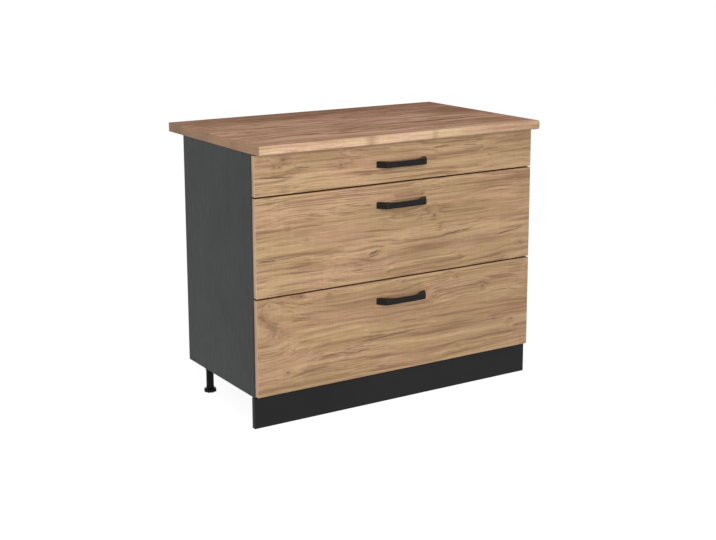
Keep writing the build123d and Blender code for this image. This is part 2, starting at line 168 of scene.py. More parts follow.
def joined(shells: Sequence[Shell]) -> Shell:
    """Several shells as one.

    Args:
        shells: the shells; all have point normals, or none keeps them.

    Returns:
        One shell with every point and face.
    """
    starts = np.cumsum([0] + [len(s.points) for s in shells[:-1]])
    has_normals = all(s.normals is not None for s in shells)
    return Shell(
        np.vstack([s.points for s in shells]),
        [[i + start for i in face] for s, start in zip(shells, starts) for face in s.faces],
        np.vstack([s.normals for s in shells]) if has_normals else None,
        np.concatenate([s.finish_numbers() for s in shells]),
    )


def both_sides(shells: Sequence[Shell]) -> Shell:
    """Shells without normals, joined with their mirror images, whose x and faces turn round."""
    images = [Shell(s.points * (-1, 1, 1), [face[::-1] for face in s.faces]) for s in shells]
    return joined([*shells, *images])


def closed_grid(points: np.ndarray, normals: np.ndarray | None = None) -> Shell:
    """A tube of rings with a flat cap at each end.

    Args:
        points: array (rings, points in a ring, 3); rings turn anticlockwise seen from the last.
        normals: an array of the same shape, or None.

    Returns:
        The closed shell.
    """
    rings, count = points.shape[:2]
    number = np.arange(rings * count).reshape(rings, count)
    after = np.roll(number, -1, axis=1)
    quads = np.stack([number[:-1], after[:-1], after[1:], number[1:]], axis=-1)
    faces = [*quads.reshape(-1, 4).tolist(), number[0, ::-1].tolist(), number[-1].tolist()]
    return Shell(points.reshape(-1, 3), faces, None if normals is None else normals.reshape(-1, 3))


def welded(shell: Shell) -> Shell:
    """Makes one point of those that fall together, as on the tips of a board's corners.

    Args:
        shell: a shell whose points share their normal where they fall together.

    Returns:
        The shell without doubled points and without the faces that have no area.
    """
    rounded = np.round(shell.points, 9)
    _, first, number = np.unique(rounded, axis=0, return_index=True, return_inverse=True)
    order = np.argsort(first)
    place = np.argsort(order)[number.reshape(-1)]
    faces = [list(dict.fromkeys(place[face].tolist())) for face in shell.faces]
    kept = first[order]
    return Shell(shell.points[kept], [f for f in faces if len(f) > 2], shell.normals[kept])


def rounded_rectangle(
    low: Sequence[float], high: Sequence[float], radius: float | Sequence[float], steps: int
) -> Outline:
    """Outline of a rectangle with rounded corners.

    Each corner is a quarter circle: its centre lies a radius inside both edges, and its points
    are the centre plus the radius times the unit vector at the angle.

    Args:
        low: lower left corner.
        high: upper right corner.
        radius: one radius, or four from the upper right corner on, anticlockwise.
        steps: chords in a quarter circle.

    Returns:
        The outline.
    """
    radii = np.broadcast_to(np.asarray(radius, float), (4,))[:, None, None]
    angle = np.radians(np.linspace(0, 90, steps + 1)[None, :] + 90 * np.arange(4)[:, None])
    unit = np.stack([np.cos(angle), np.sin(angle)], axis=-1)
    signs = np.array([(1, 1), (-1, 1), (-1, -1), (1, -1)])[:, None, :]
    middle = (np.asarray(low) + np.asarray(high)) / 2
    half = (np.asarray(high) - np.asarray(low)) / 2
    points = middle + signs * (half - radii) + radii * unit
    return Outline(points.reshape(-1, 2), unit.reshape(-1, 2))


def softened_prism(
    outline: Outline,
    low: float,
    high: float,
    radius: float,
    along: Along = Along.Z,
    steps: int = 2,
) -> Shell:
    """An outline carried along an axis, with both ends rounded over.

    At an angle t from 0 at the side to 90 degrees at the end, the outline is drawn in by
    radius * (1 - cos t) along its normals and lies radius * (1 - sin t) inside the end.

    Args:
        outline: the outline.
        low: level of the first end.
        high: level of the last end.
        radius: of the rounded ends.
        along: the axis that the outline is carried along.
        steps: chords in each rounded end.

    Returns:
        The closed shell with point normals.
    """
    quarter = np.radians(np.linspace(90, 0, steps + 1))
    turn = np.concatenate([quarter, quarter[::-1]])
    sign = np.repeat([-1.0, 1.0], steps + 1)
    level = np.where(sign < 0, low, high) - sign * radius * (1 - np.sin(turn))
    drawn_in = radius * (1 - np.cos(turn))
    flat = outline.points[None] - drawn_in[:, None, None] * outline.normals[None]
    height = np.broadcast_to(level[:, None, None], (*flat.shape[:2], 1))
    side = np.cos(turn)[:, None, None] * outline.normals[None]
    end = np.broadcast_to((sign * np.sin(turn))[:, None, None], height.shape)
    grid = closed_grid(np.concatenate([flat, height], axis=2), np.concatenate([side, end], axis=2))
    shell = welded(grid)
    return Shell(along.turn(shell.points), shell.faces, along.turn(shell.normals))


def board(low: Sequence[float], high: Sequence[float], radius: float, steps: int = 2) -> Shell:
    """A board between two corners with every edge rounded, in so many chords."""
    outline = rounded_rectangle(low[:2], high[:2], radius, steps)
    return softened_prism(outline, low[2], high[2], radius, Along.Z, steps)


def node_board(node: str, radius: float, steps: int = 2) -> Shell:
    """A board with rounded edges that fills a CAD node's box."""
    return board(*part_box(node), radius, steps)


def box_middle(node: str) -> Vector:
    """The middle of a CAD node's box."""
    low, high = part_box(node)
    return (low + high) / 2


def revolved(
    profile: Sequence[Sequence[float]],
    centre: Sequence[float],
    along: Along = Along.Z,
    sides: int = 32,
    lobes: int = 0,
    flip: bool = False,
) -> Shell:
    """A profile turned round an axis, with lobes where its rows ask for them.

    At an angle a, a row's radius is drawn in by its lobe depth times (1 - cos(lobes * a)) / 2;
    the point is the centre plus that radius times (cos a, sin a), plus the level along the axis.

    Args:
        profile: rows of radius, level and, if it has lobes, lobe depth as a share of the radius.
        centre: where the axis passes, at level 0.
        along: the axis.
        sides: points in a ring.
        lobes: number of lobes.
        flip: runs the levels against the axis, by half a turn about the first local axis.

    Returns:
        The closed shell; it has no point normals.
    """
    rows = np.asarray(profile, float)
    angle = np.linspace(0, 2 * np.pi, sides, endpoint=False)
    depth = rows[:, 2:] if lobes else np.zeros((len(rows), 1))
    radius = rows[:, :1] * (1 - depth * (1 - np.cos(lobes * angle)[None]) / 2)
    level = np.repeat(rows[:, 1:2], sides, axis=1)
    local = np.stack([radius * np.cos(angle), radius * np.sin(angle), level], axis=-1)
    shell = closed_grid(local * ((1, -1, -1) if flip else (1, 1, 1)))
    return Shell(along.turn(shell.points) + np.asarray(centre), shell.faces)


def prism(
    outline: Sequence[Sequence[float]], low: float, high: float, along: Along = Along.Z
) -> Shell:
    """A plain prism: an outline at two levels of an axis, turned round if its area is negative.

    Args:
        outline: points (n, 2).
        low: first level.
        high: last level.
        along: the axis.

    Returns:
        The closed shell; it has no point normals.
    """
    flat = np.asarray(outline, float)
    after = np.roll(flat, -1, axis=0)
    if (flat[:, 0] * after[:, 1] - flat[:, 1] * after[:, 0]).sum() < 0:
        flat = flat[::-1]
    rings = [np.column_stack([flat, np.full(len(flat), level)]) for level in (low, high)]
    shell = closed_grid(np.stack(rings))
    return Shell(along.turn(shell.points), shell.faces)


# ---------------------------------------------------------------- material recipes
class Tree:
    """A node tree, with short calls for the nodes that the finishes and the studio share."""

    def __init__(self, tree: bpy.types.NodeTree) -> None:
        """Takes the tree."""
        self.tree = tree

    def node(self, kind: str, **settings: object) -> bpy.types.Node:
        """Adds a node.

        Args:
            kind: its type.
            **settings: its properties.

        Returns:
            The node.
        """
        made = self.tree.nodes.new(kind)
        for key, value in settings.items():
            setattr(made, key, value)
        return made

    def feed(self, socket: Socket, value: object) -> None:
        """Links a socket to another one, or writes a constant into it.

        Args:
            socket: the input.
            value: a socket, a number or a tuple.
        """
        if isinstance(value, bpy.types.NodeSocket):
            self.tree.links.new(value, socket)
        elif isinstance(value, tuple) and len(value) == 3 and socket.type == "RGBA":
            socket.default_value = (*value, 1.0)
        else:
            socket.default_value = value

    def fed(self, made: bpy.types.Node, values: Sequence[object]) -> bpy.types.Node:
        """Feeds a node's first inputs in order.

        Args:
            made: the node.
            values: sockets or constants.

        Returns:
            The node.
        """
        for socket, value in zip(made.inputs, values):
            self.feed(socket, value)
        return made

    def math(self, operation: str, *values: Value, clamp: bool = False) -> Socket:
        """A Math node on numbers or sockets."""
        made = self.node("ShaderNodeMath", operation=operation, use_clamp=clamp)
        return self.fed(made, values).outputs[0]

    def seen_directly(self) -> Socket:
        """Tells the rays that show a surface in the picture from those that only light it.

        Returns:
            1 for camera, glossy and transmission rays, 0 for others.
        """
        rays = self.node("ShaderNodeLightPath").outputs
        reflected = self.math("MAXIMUM", rays["Is Glossy Ray"], rays["Is Transmission Ray"])
        return self.math("MAXIMUM", rays["Is Camera Ray"], reflected)


@dataclass(frozen=True)
class Grain:
    """A noise: lump lengths along X, Y and Z in millimetres, a shift, octaves and their weight."""

    lumps: tuple[float, float, float]
    shift: float
    octaves: float = 2.0
    weight: float = 0.5


class Recipe(Tree):
    """The node tree of one material."""

    usual_noise: ClassVar[tuple[float, float]] = (0.3, 0.7)

    def __init__(self, name: str) -> None:
        """Starts a material with a Principled shader and object coordinates in millimetres.

        Args:
            name: the material's name.
        """
        self.material = bpy.data.materials.new(name)
        self.material.use_nodes = True
        super().__init__(self.material.node_tree)
        self.tree.nodes.clear()
        self.shader = self.node("ShaderNodeBsdfPrincipled")
        output = self.node("ShaderNodeOutputMaterial")
        self.feed(output.inputs["Surface"], self.shader.outputs[0])
        coordinates = self.node("ShaderNodeTexCoord")
        self.place = self.vector("MULTIPLY", coordinates.outputs["Object"], (1 / MM,) * 3)

    def vector(self, operation: str, *values: object) -> Socket:
        """A Vector Math node on vectors or sockets."""
        made = self.fed(self.node("ShaderNodeVectorMath", operation=operation), values)
        return made.outputs["Value" if operation in ("LENGTH", "DOT_PRODUCT") else "Vector"]

    def split(self, vector: Socket) -> tuple[Socket, Socket, Socket]:
        """The three components of a vector."""
        return tuple(self.fed(self.node("ShaderNodeSeparateXYZ"), (vector,)).outputs)

    def combine(self, *values: Value) -> Socket:
        """A vector of three numbers or sockets."""
        return self.fed(self.node("ShaderNodeCombineXYZ"), values).outputs[0]

    def noise(self, grain: Grain, moved: float = 0.0, place: Socket | None = None) -> Socket:
        """Lays a noise.

        Args:
            grain: the noise.
            moved: moves the pattern, so that two materials differ.
            place: coordinates in millimetres, the object's own if None.

        Returns:
            The noise value, about 0.5 on average.
        """
        shift = moved + grain.shift
        scale = tuple(1 / length for length in grain.lumps)
        offset = (shift, 1.7 * shift, -shift)
        stretched = self.vector("MULTIPLY_ADD", place or self.place, scale, offset)
        made = self.node("ShaderNodeTexNoise")
        self.feed(made.inputs["Vector"], stretched)
        made.inputs["Scale"].default_value = 1.0
        made.inputs["Detail"].default_value = grain.octaves
        made.inputs["Roughness"].default_value = grain.weight
        return made.outputs["Fac"]

    def remap(
        self, value: Value, low: float, high: float, to_low: Value = 0.0, to_high: Value = 1.0
    ) -> Socket:
        """A smooth step of a value between two levels, clamped at both."""
        made = self.node("ShaderNodeMapRange", interpolation_type="SMOOTHSTEP")
        return self.fed(made, (value, low, high, to_low, to_high)).outputs[0]

    def spread(self, noise: Socket, low: float, high: float) -> Socket:
        """A noise's usual values, spread between two levels."""
        return self.remap(noise, *self.usual_noise, low, high)

    def swing(self, noise: Socket, reach: float) -> Socket:
        """A noise as an even swing about 0."""
        return self.math("MULTIPLY_ADD", noise, 2 * reach, -reach)

    def mix(self, factor: Value, first: object, second: object, blend: str = "MIX") -> Socket:
        """Mixes two colours.

        Args:
            factor: the second one's share.
            first: a colour or a socket.
            second: a colour or a socket.
            blend: how they are mixed.

        Returns:
            The mixed colour.
        """
        made = self.node("ShaderNodeMix", data_type="RGBA", blend_type=blend)
        for index, value in zip(MIX_INPUTS, (factor, first, second)):
            self.feed(made.inputs[index], value)
        return made.outputs[MIX_OUTPUT]

    def shaded(self, colour: object, factor: Socket) -> Socket:
        """A colour times a factor or another colour."""
        return self.mix(1.0, colour, factor, "MULTIPLY")

    def bump(self, height: Socket, distance: float) -> None:
        """Raises the surface by a height times a distance.

        Args:
            height: the height.
            distance: in millimetres.
        """
        made = self.node("ShaderNodeBump")
        made.inputs["Strength"].default_value = 1.0
        made.inputs["Distance"].default_value = distance * MM
        self.feed(made.inputs["Height"], height)
        self.feed(self.shader.inputs["Normal"], made.outputs[0])

    def paint(self, tone: Socket, roughness: Value, specular: float, metal: float = 0.0) -> None:
        """Sets the shader's main inputs.

        Args:
            tone: the colour.
            roughness: the roughness.
            specular: the specular level.
            metal: 1 for bare metal.
        """
        names = ("Base Color", "Roughness", "Specular IOR Level", "Metallic")
        for key, value in zip(names, (tone, roughness, specular, metal)):
            self.feed(self.shader.inputs[key], value)


@dataclass(frozen=True)
class Finish:
    """A named finish; each kind lays its own recipe."""

    name: str

    def lay(self, recipe: Recipe) -> None:
        """Lays the finish on a new material."""
        raise NotImplementedError

    @cache
    def material(self) -> bpy.types.Material:
        """Makes the finish's material when it is first asked for.

        Returns:
            The material.
        """
        recipe = Recipe(self.name)
        self.lay(recipe)
        return recipe.material


SLOW_WAVE = Grain((420, 150, 150), 3.1, 1.0)
QUICK_WAVE = Grain((130, 60, 60), 4.7, 1.0)
RAGGED_KNOT = Grain((14, 4, 4), 8.0, 3.0, 0.65)
RAGGED_PATCH = Grain((60, 7, 7), 9.0, 3.0, 0.6)
CRACK_WAVER = Grain((34, 28, 28), 5.0)
CRACK_BREAKS = Grain((13, 6, 6), 6.5)
BROAD_BANDS = Grain((900, 38, 38), 0.0, 3.0, 0.6)
STREAKS = Grain((480, 11, 11), 11.0, 4.0, 0.62)
CALM_AREAS = Grain((420, 60, 60), 17.0, 1.0)
GROWTH_LINES = Grain((620, 3.4, 3.4), 23.0)
HUE_AREAS = Grain((240, 55, 55), 19.0)
FIBRES = Grain((46, 1.1, 1.1), 31.0, 3.0, 0.6)
PORES = Grain((17, 0.8, 0.8), 37.0, 1.0)
SAW_MARKS = Grain((2.2, 60, 60), 41.0, 1.0)
BOARD_TONE = Grain((180, 180, 180), 2.0)
BOARD_SPECKS = Grain((0.8, 0.8, 0.8), 9.0, 1.0)
CHIP_DUST = Grain((1.2, 1.2, 1.2), 4.0, 3.0, 0.7)
FELT = Grain((5, 5, 5), 1.0, 5.0, 0.75)
FELT_CLOUDS = Grain((160, 160, 160), 3.0)
FELT_SCREEN = Grain((0.9, 0.9, 0.9), 7.0, 2.0, 0.6)
PLATING = Grain((22, 22, 22), 1.0, 4.0, 0.6)
MOULD_CLOUDS = Grain((25, 25, 25), 6.0, 3.0, 0.6)


@dataclass(frozen=True)
class Knot:
    """A knot, dark spot or patch of painted shade in a wood face, in millimetres from the piece's own
    axes.
    """

    along: float
    across: float
    radius: float
    stretch: float
    tilt: float
    darkness: float


@dataclass(frozen=True)
class Crack:
    """A dark filled crack between two points of a wood face, in millimetres."""

    start: tuple[float, float]
    end: tuple[float, float]
    width: float
    darkness: float


@dataclass(frozen=True)
class Tones:
    """The colours of an oak decor, from its pale wood to the middle of its knots."""

    light: Colour
    middle: Colour
    dark: Colour
    heart: Colour


@dataclass(frozen=True)
class Oak(Finish):
    """An oak decor with its grain along X: bands, streaks and growth lines, knots and cracks."""

    tones: Tones
    knots: tuple[Knot, ...]
    smudges_and_painted_shade: tuple[Knot, ...]
    cracks: tuple[Crack, ...] = ()
    shift: float = 0.0
    streak: float = 1.15
    wave: float = 22.0
    flat_top: bool = False
    roughness: float = 0.5
    specular: float = 0.4
    quick_wave: float = 5.0
    knot_push: float = 0.9
    knot_fade: float = 0.4
    knot_ragged: float = 0.9
    knot_core: tuple[float, float] = (1.15, 0.1)
    knot_halo: tuple[float, float] = (4.2, 0.6)
    halo_share: float = 0.6
    patch_ragged: float = 0.6
    patch_edge: tuple[float, float] = (1.1, 0.0)
    crack_waver: float = 3.5
    crack_core: float = 0.15
    crack_taper: tuple[float, float] = (1.08, 0.4)

    def face(self, recipe: Recipe) -> Socket:
        """Coordinates along and across the grain on the main face."""
        x, y, z = recipe.split(recipe.place)
        return recipe.combine(x, y if self.flat_top else z, 0.0)

    def from_centre(self, recipe: Recipe, face: Socket, mark: Knot) -> tuple[Socket, Socket]:
        """Distance to a mark's middle, in its radii.

        Args:
            recipe: the material's recipe.
            face: coordinates on the face.
            mark: the knot or dark patch.

        Returns:
            The distance, and its part across the mark.
        """
        offset = recipe.vector("SUBTRACT", face, (mark.along, mark.across, 0.0))
        cos, sin = math.cos(math.radians(mark.tilt)), math.sin(math.radians(mark.tilt))
        long = 1 / (mark.radius * mark.stretch)
        wide = 1 / mark.radius
        first = recipe.vector("DOT_PRODUCT", offset, (cos * long, sin * long, 0))
        second = recipe.vector("DOT_PRODUCT", offset, (-sin * wide, cos * wide, 0))
        return recipe.vector("LENGTH", recipe.combine(first, second, 0.0)), second

    def warped(self, recipe: Recipe, face: Socket) -> Socket:
        """Coordinates whose grain waves slowly and bends round the knots.

        A knot pushes the grain by knot_push radii times exp(-knot_fade * distance in radii).

        Args:
            recipe: the material's recipe.
            face: coordinates on the face.

        Returns:
            The coordinates.
        """
        slow = recipe.noise(SLOW_WAVE, self.shift)
        quick = recipe.noise(QUICK_WAVE, self.shift)
        lift = recipe.swing(slow, self.wave)
        lift = recipe.math("ADD", lift, recipe.swing(quick, self.quick_wave))
        for knot in self.knots:
            distance, second = self.from_centre(recipe, face, knot)
            reach = recipe.math("EXPONENT", recipe.math("MULTIPLY", distance, -self.knot_fade))
            push = recipe.math("MULTIPLY", second, -self.knot_push * knot.radius)
            lift = recipe.math("ADD", lift, recipe.math("MULTIPLY", reach, push))
        return recipe.vector("ADD", recipe.place, recipe.combine(0.0, lift, lift))

    def knot_marks(self, recipe: Recipe, face: Socket) -> tuple[Value, Value]:
        """Masks of the knots' dark middles, and of the wider shade round them with the dark patches.

        Args:
            recipe: the material's recipe.
            face: coordinates on the face.

        Returns:
            The middle's mask and the shade's mask.
        """
        middles: Value = 0.0
        shades: Value = 0.0
        ragged = recipe.noise(RAGGED_KNOT, self.shift)
        for knot in self.knots:
            distance, _ = self.from_centre(recipe, face, knot)
            edge = recipe.math("ADD", distance, recipe.swing(ragged, self.knot_ragged))
            core = recipe.remap(edge, *self.knot_core, 0.0, knot.darkness)
            shade = self.halo_share * knot.darkness
            halo = recipe.remap(edge, *self.knot_halo, 0.0, shade)
            middles = recipe.math("MAXIMUM", middles, core)
            shades = recipe.math("MAXIMUM", shades, halo)
        # Dark patches: smudges of the figure, and on the worktop wide patches of painted shade.
        streaky = recipe.noise(RAGGED_PATCH, self.shift)
        for dark_patch in self.smudges_and_painted_shade:
            distance, _ = self.from_centre(recipe, face, dark_patch)
            edge = recipe.math("ADD", distance, recipe.swing(streaky, self.patch_ragged))
            shade = recipe.remap(edge, *self.patch_edge, 0.0, dark_patch.darkness)
            shades = recipe.math("MAXIMUM", shades, shade)
        return middles, shades

    def crack_marks(self, recipe: Recipe, face: Socket) -> Value:
        """Mask of the cracks: near a wavering line between two points, thin at both ends.

        Args:
            recipe: the material's recipe.
            face: coordinates on the face.

        Returns:
            The mask.
        """
        total: Value = 0.0
        waver = recipe.noise(CRACK_WAVER, self.shift)
        broken = recipe.remap(recipe.noise(CRACK_BREAKS, self.shift), 0.3, 0.5, 0.65, 1.0)
        for crack in self.cracks:
            run = Vector((*crack.end, 0)) - Vector((*crack.start, 0))
            side = Vector((-run.y, run.x, 0)) / run.length
            offset = recipe.vector("SUBTRACT", face, (*crack.start, 0.0))
            share = recipe.vector("DOT_PRODUCT", offset, tuple(run / run.length_squared))
            away = recipe.vector("DOT_PRODUCT", offset, tuple(side))
            bent = recipe.math("ADD", away, recipe.swing(waver, self.crack_waver))
            near = recipe.math("ABSOLUTE", bent)
            line = recipe.remap(near, crack.width, self.crack_core * crack.width, 0.0, crack.darkness)
            middle = recipe.math("ABSOLUTE", recipe.math("MULTIPLY_ADD", share, 2.0, -1.0))
            taper = recipe.remap(middle, *self.crack_taper)
            total = recipe.math("MAXIMUM", total, recipe.math("MULTIPLY", line, taper))
        return recipe.math("MULTIPLY", total, broken)

    def figure(self, recipe: Recipe, place: Socket) -> Socket:
        """The wood's figure without its marks: bands, streaks, growth lines and a change of hue.

        Args:
            recipe: the material's recipe.
            place: the warped coordinates.

        Returns:
            The tone.
        """
        tones = self.tones
        broad = recipe.noise(BROAD_BANDS, self.shift, place)
        tone = recipe.mix(recipe.remap(broad, 0.36, 0.64), tones.middle, tones.light)
        streaks = recipe.noise(STREAKS, self.shift, place)
        shade = recipe.remap(streaks, 0.48, 0.7, 0.0, 0.9 * self.streak)
        tone = recipe.mix(shade, tone, tones.dark)
        pale = recipe.remap(streaks, 0.46, 0.28, 0.0, 0.7 * self.streak)
        tone = recipe.mix(pale, tone, tuple(1.12 * c for c in tones.light))
        calm = recipe.noise(CALM_AREAS, self.shift)
        rings = recipe.noise(GROWTH_LINES, self.shift, place)
        lines = recipe.remap(rings, 0.46, 0.66, 0.0, 0.7 * self.streak)
        lines = recipe.math("MULTIPLY", lines, recipe.remap(calm, 0.42, 0.62, 0.25))
        tone = recipe.mix(lines, tone, tones.dark)
        hue = recipe.remap(recipe.noise(HUE_AREAS, self.shift), 0.35, 0.65)
        return recipe.shaded(tone, recipe.mix(hue, (1.02, 0.982, 1.0), (0.985, 1.01, 0.945)))

    def lay(self, recipe: Recipe) -> None:
        """Lays the figure, then fibres, pores and saw marks, then knots and cracks.

        Args:
            recipe: the new material's recipe.
        """
        face = self.face(recipe)
        place = self.warped(recipe, face)
        tone = self.figure(recipe, place)
        fibres = recipe.noise(FIBRES, self.shift, place)
        tone = recipe.shaded(tone, recipe.spread(fibres, 0.88, 1.1))
        pores = recipe.noise(PORES, self.shift, place)
        pits = recipe.remap(pores, 0.62, 0.74, 0.0, 0.4)
        tone = recipe.mix(pits, tone, self.tones.dark)
        saw = recipe.noise(SAW_MARKS, self.shift)
        tone = recipe.shaded(tone, recipe.spread(saw, 0.965, 1.035))
        middles, shades = self.knot_marks(recipe, face)
        tone = recipe.mix(shades, tone, self.tones.dark)
        tone = recipe.mix(middles, tone, self.tones.heart)
        depth = recipe.math("SUBTRACT", recipe.math("MULTIPLY", pits, -1.0), middles)
        if self.cracks:
            gaps = self.crack_marks(recipe, face)
            tone = recipe.mix(gaps, tone, self.tones.heart)
            depth = recipe.math("SUBTRACT", depth, gaps)
        recipe.bump(recipe.math("MULTIPLY_ADD", fibres, 0.6, depth), 0.12)
        rough = recipe.spread(fibres, self.roughness - 0.06, self.roughness + 0.08)
        recipe.paint(tone, rough, self.specular)


@dataclass(frozen=True)
class Laminate(Finish):
    """A plain laminated or lacquered board: one tone with fine pressed grain and faint wear."""

    colour: Colour
    roughness: float = 0.5
    specular: float = 0.3
    grain: tuple[float, float, float] = (3, 3, 40)
    variation: float = 0.12

    def lay(self, recipe: Recipe) -> None:
        """Lays the tone, its slow variation and the pressed grain with fine specks.

        Args:
            recipe: the new material's recipe.
        """
        slow = recipe.noise(BOARD_TONE)
        fine = recipe.noise(Grain(self.grain, 5.0, 3.0, 0.6))
        broad = recipe.spread(slow, 1 - self.variation, 1 + self.variation)
        narrow = recipe.swing(fine, self.variation)
        speck = recipe.math("MULTIPLY", recipe.noise(BOARD_SPECKS), 0.5)
        recipe.bump(recipe.math("ADD", fine, speck), 0.05)
        recipe.paint(
            recipe.shaded(self.colour, recipe.math("ADD", broad, narrow)),
            recipe.spread(fine, self.roughness - 0.05, self.roughness + 0.07),
            self.specular,
        )


@dataclass(frozen=True)
class Chipboard(Finish):
    """Raw edge of chipboard: pressed flakes of several browns."""

    light: Colour = (0.74, 0.58, 0.41)
    dark: Colour = (0.44, 0.31, 0.19)
    flakes_per_millimetre: float = 0.45

    def lay(self, recipe: Recipe) -> None:
        """Lays flakes from a Voronoi pattern, with noise between them.

        Args:
            recipe: the new material's recipe.
        """
        flakes = recipe.node("ShaderNodeTexVoronoi", feature="F1")
        place = recipe.vector("MULTIPLY", recipe.place, (self.flakes_per_millimetre,) * 3)
        recipe.feed(flakes.inputs["Vector"], place)
        _, shade, _ = recipe.split(flakes.outputs["Color"])
        dust = recipe.noise(CHIP_DUST)
        half_dust = recipe.math("MULTIPLY", dust, 0.5)
        blend = recipe.math("MULTIPLY_ADD", shade, 0.6, half_dust, clamp=True)
        recipe.bump(recipe.math("ADD", shade, dust), 0.25)
        recipe.paint(recipe.mix(blend, self.dark, self.light), 0.85, 0.2)


@dataclass(frozen=True)
class Hardboard(Finish):
    """Brown back of a thin fibreboard: felted fibres and a faint screen pattern."""

    colour: Colour = (0.36, 0.235, 0.14)

    def lay(self, recipe: Recipe) -> None:
        """Lays mottled brown with a fine screen.

        Args:
            recipe: the new material's recipe.
        """
        mottle = recipe.noise(FELT)
        cloud = recipe.noise(FELT_CLOUDS)
        fine, broad = recipe.spread(mottle, 0.86, 1.12), recipe.spread(cloud, 0.93, 1.06)
        recipe.bump(recipe.math("ADD", mottle, recipe.noise(FELT_SCREEN)), 0.2)
        recipe.paint(recipe.shaded(self.colour, recipe.math("MULTIPLY", fine, broad)), 0.8, 0.25)


@dataclass(frozen=True)
class ZincSteel(Finish):
    """Zinc-plated steel: drawn lines and faint cloudy plating."""

    colour: Colour = (0.6, 0.61, 0.62)
    roughness: float = 0.34
    drawn: tuple[float, float, float] = (0.7, 60, 0.7)

    def lay(self, recipe: Recipe) -> None:
        """Lays cloudy plating over drawn lines.

        Args:
            recipe: the new material's recipe.
        """
        cloud = recipe.noise(PLATING)
        lines = recipe.noise(Grain(self.drawn, 4.0))
        tone = recipe.shaded(self.colour, recipe.spread(cloud, 0.86, 1.08))
        plating = recipe.spread(cloud, self.roughness - 0.06, self.roughness + 0.1)
        scratches = recipe.swing(lines, 0.07)
        recipe.bump(lines, 0.03)
        recipe.paint(tone, recipe.math("ADD", plating, scratches), 0.5, 1.0)


@dataclass(frozen=True)
class Moulded(Finish):
    """Black moulded plastic or powder coating: fine grain and a faint, cloudy change of tone."""

    colour: Colour
    roughness: float
    specular: float
    grain: float = 0.6
    depth: float = 0.05

    def lay(self, recipe: Recipe) -> None:
        """Lays the grain and the clouds.

        Args:
            recipe: the new material's recipe.
        """
        cloud = recipe.noise(MOULD_CLOUDS)
        tone = recipe.shaded(self.colour, recipe.spread(cloud, 0.85, 1.2))
        rough = recipe.spread(cloud, self.roughness - 0.06, self.roughness + 0.08)
        recipe.bump(recipe.noise(Grain((self.grain,) * 3, 3.0, 2.0, 0.6)), self.depth)
        recipe.paint(tone, rough, self.specular)


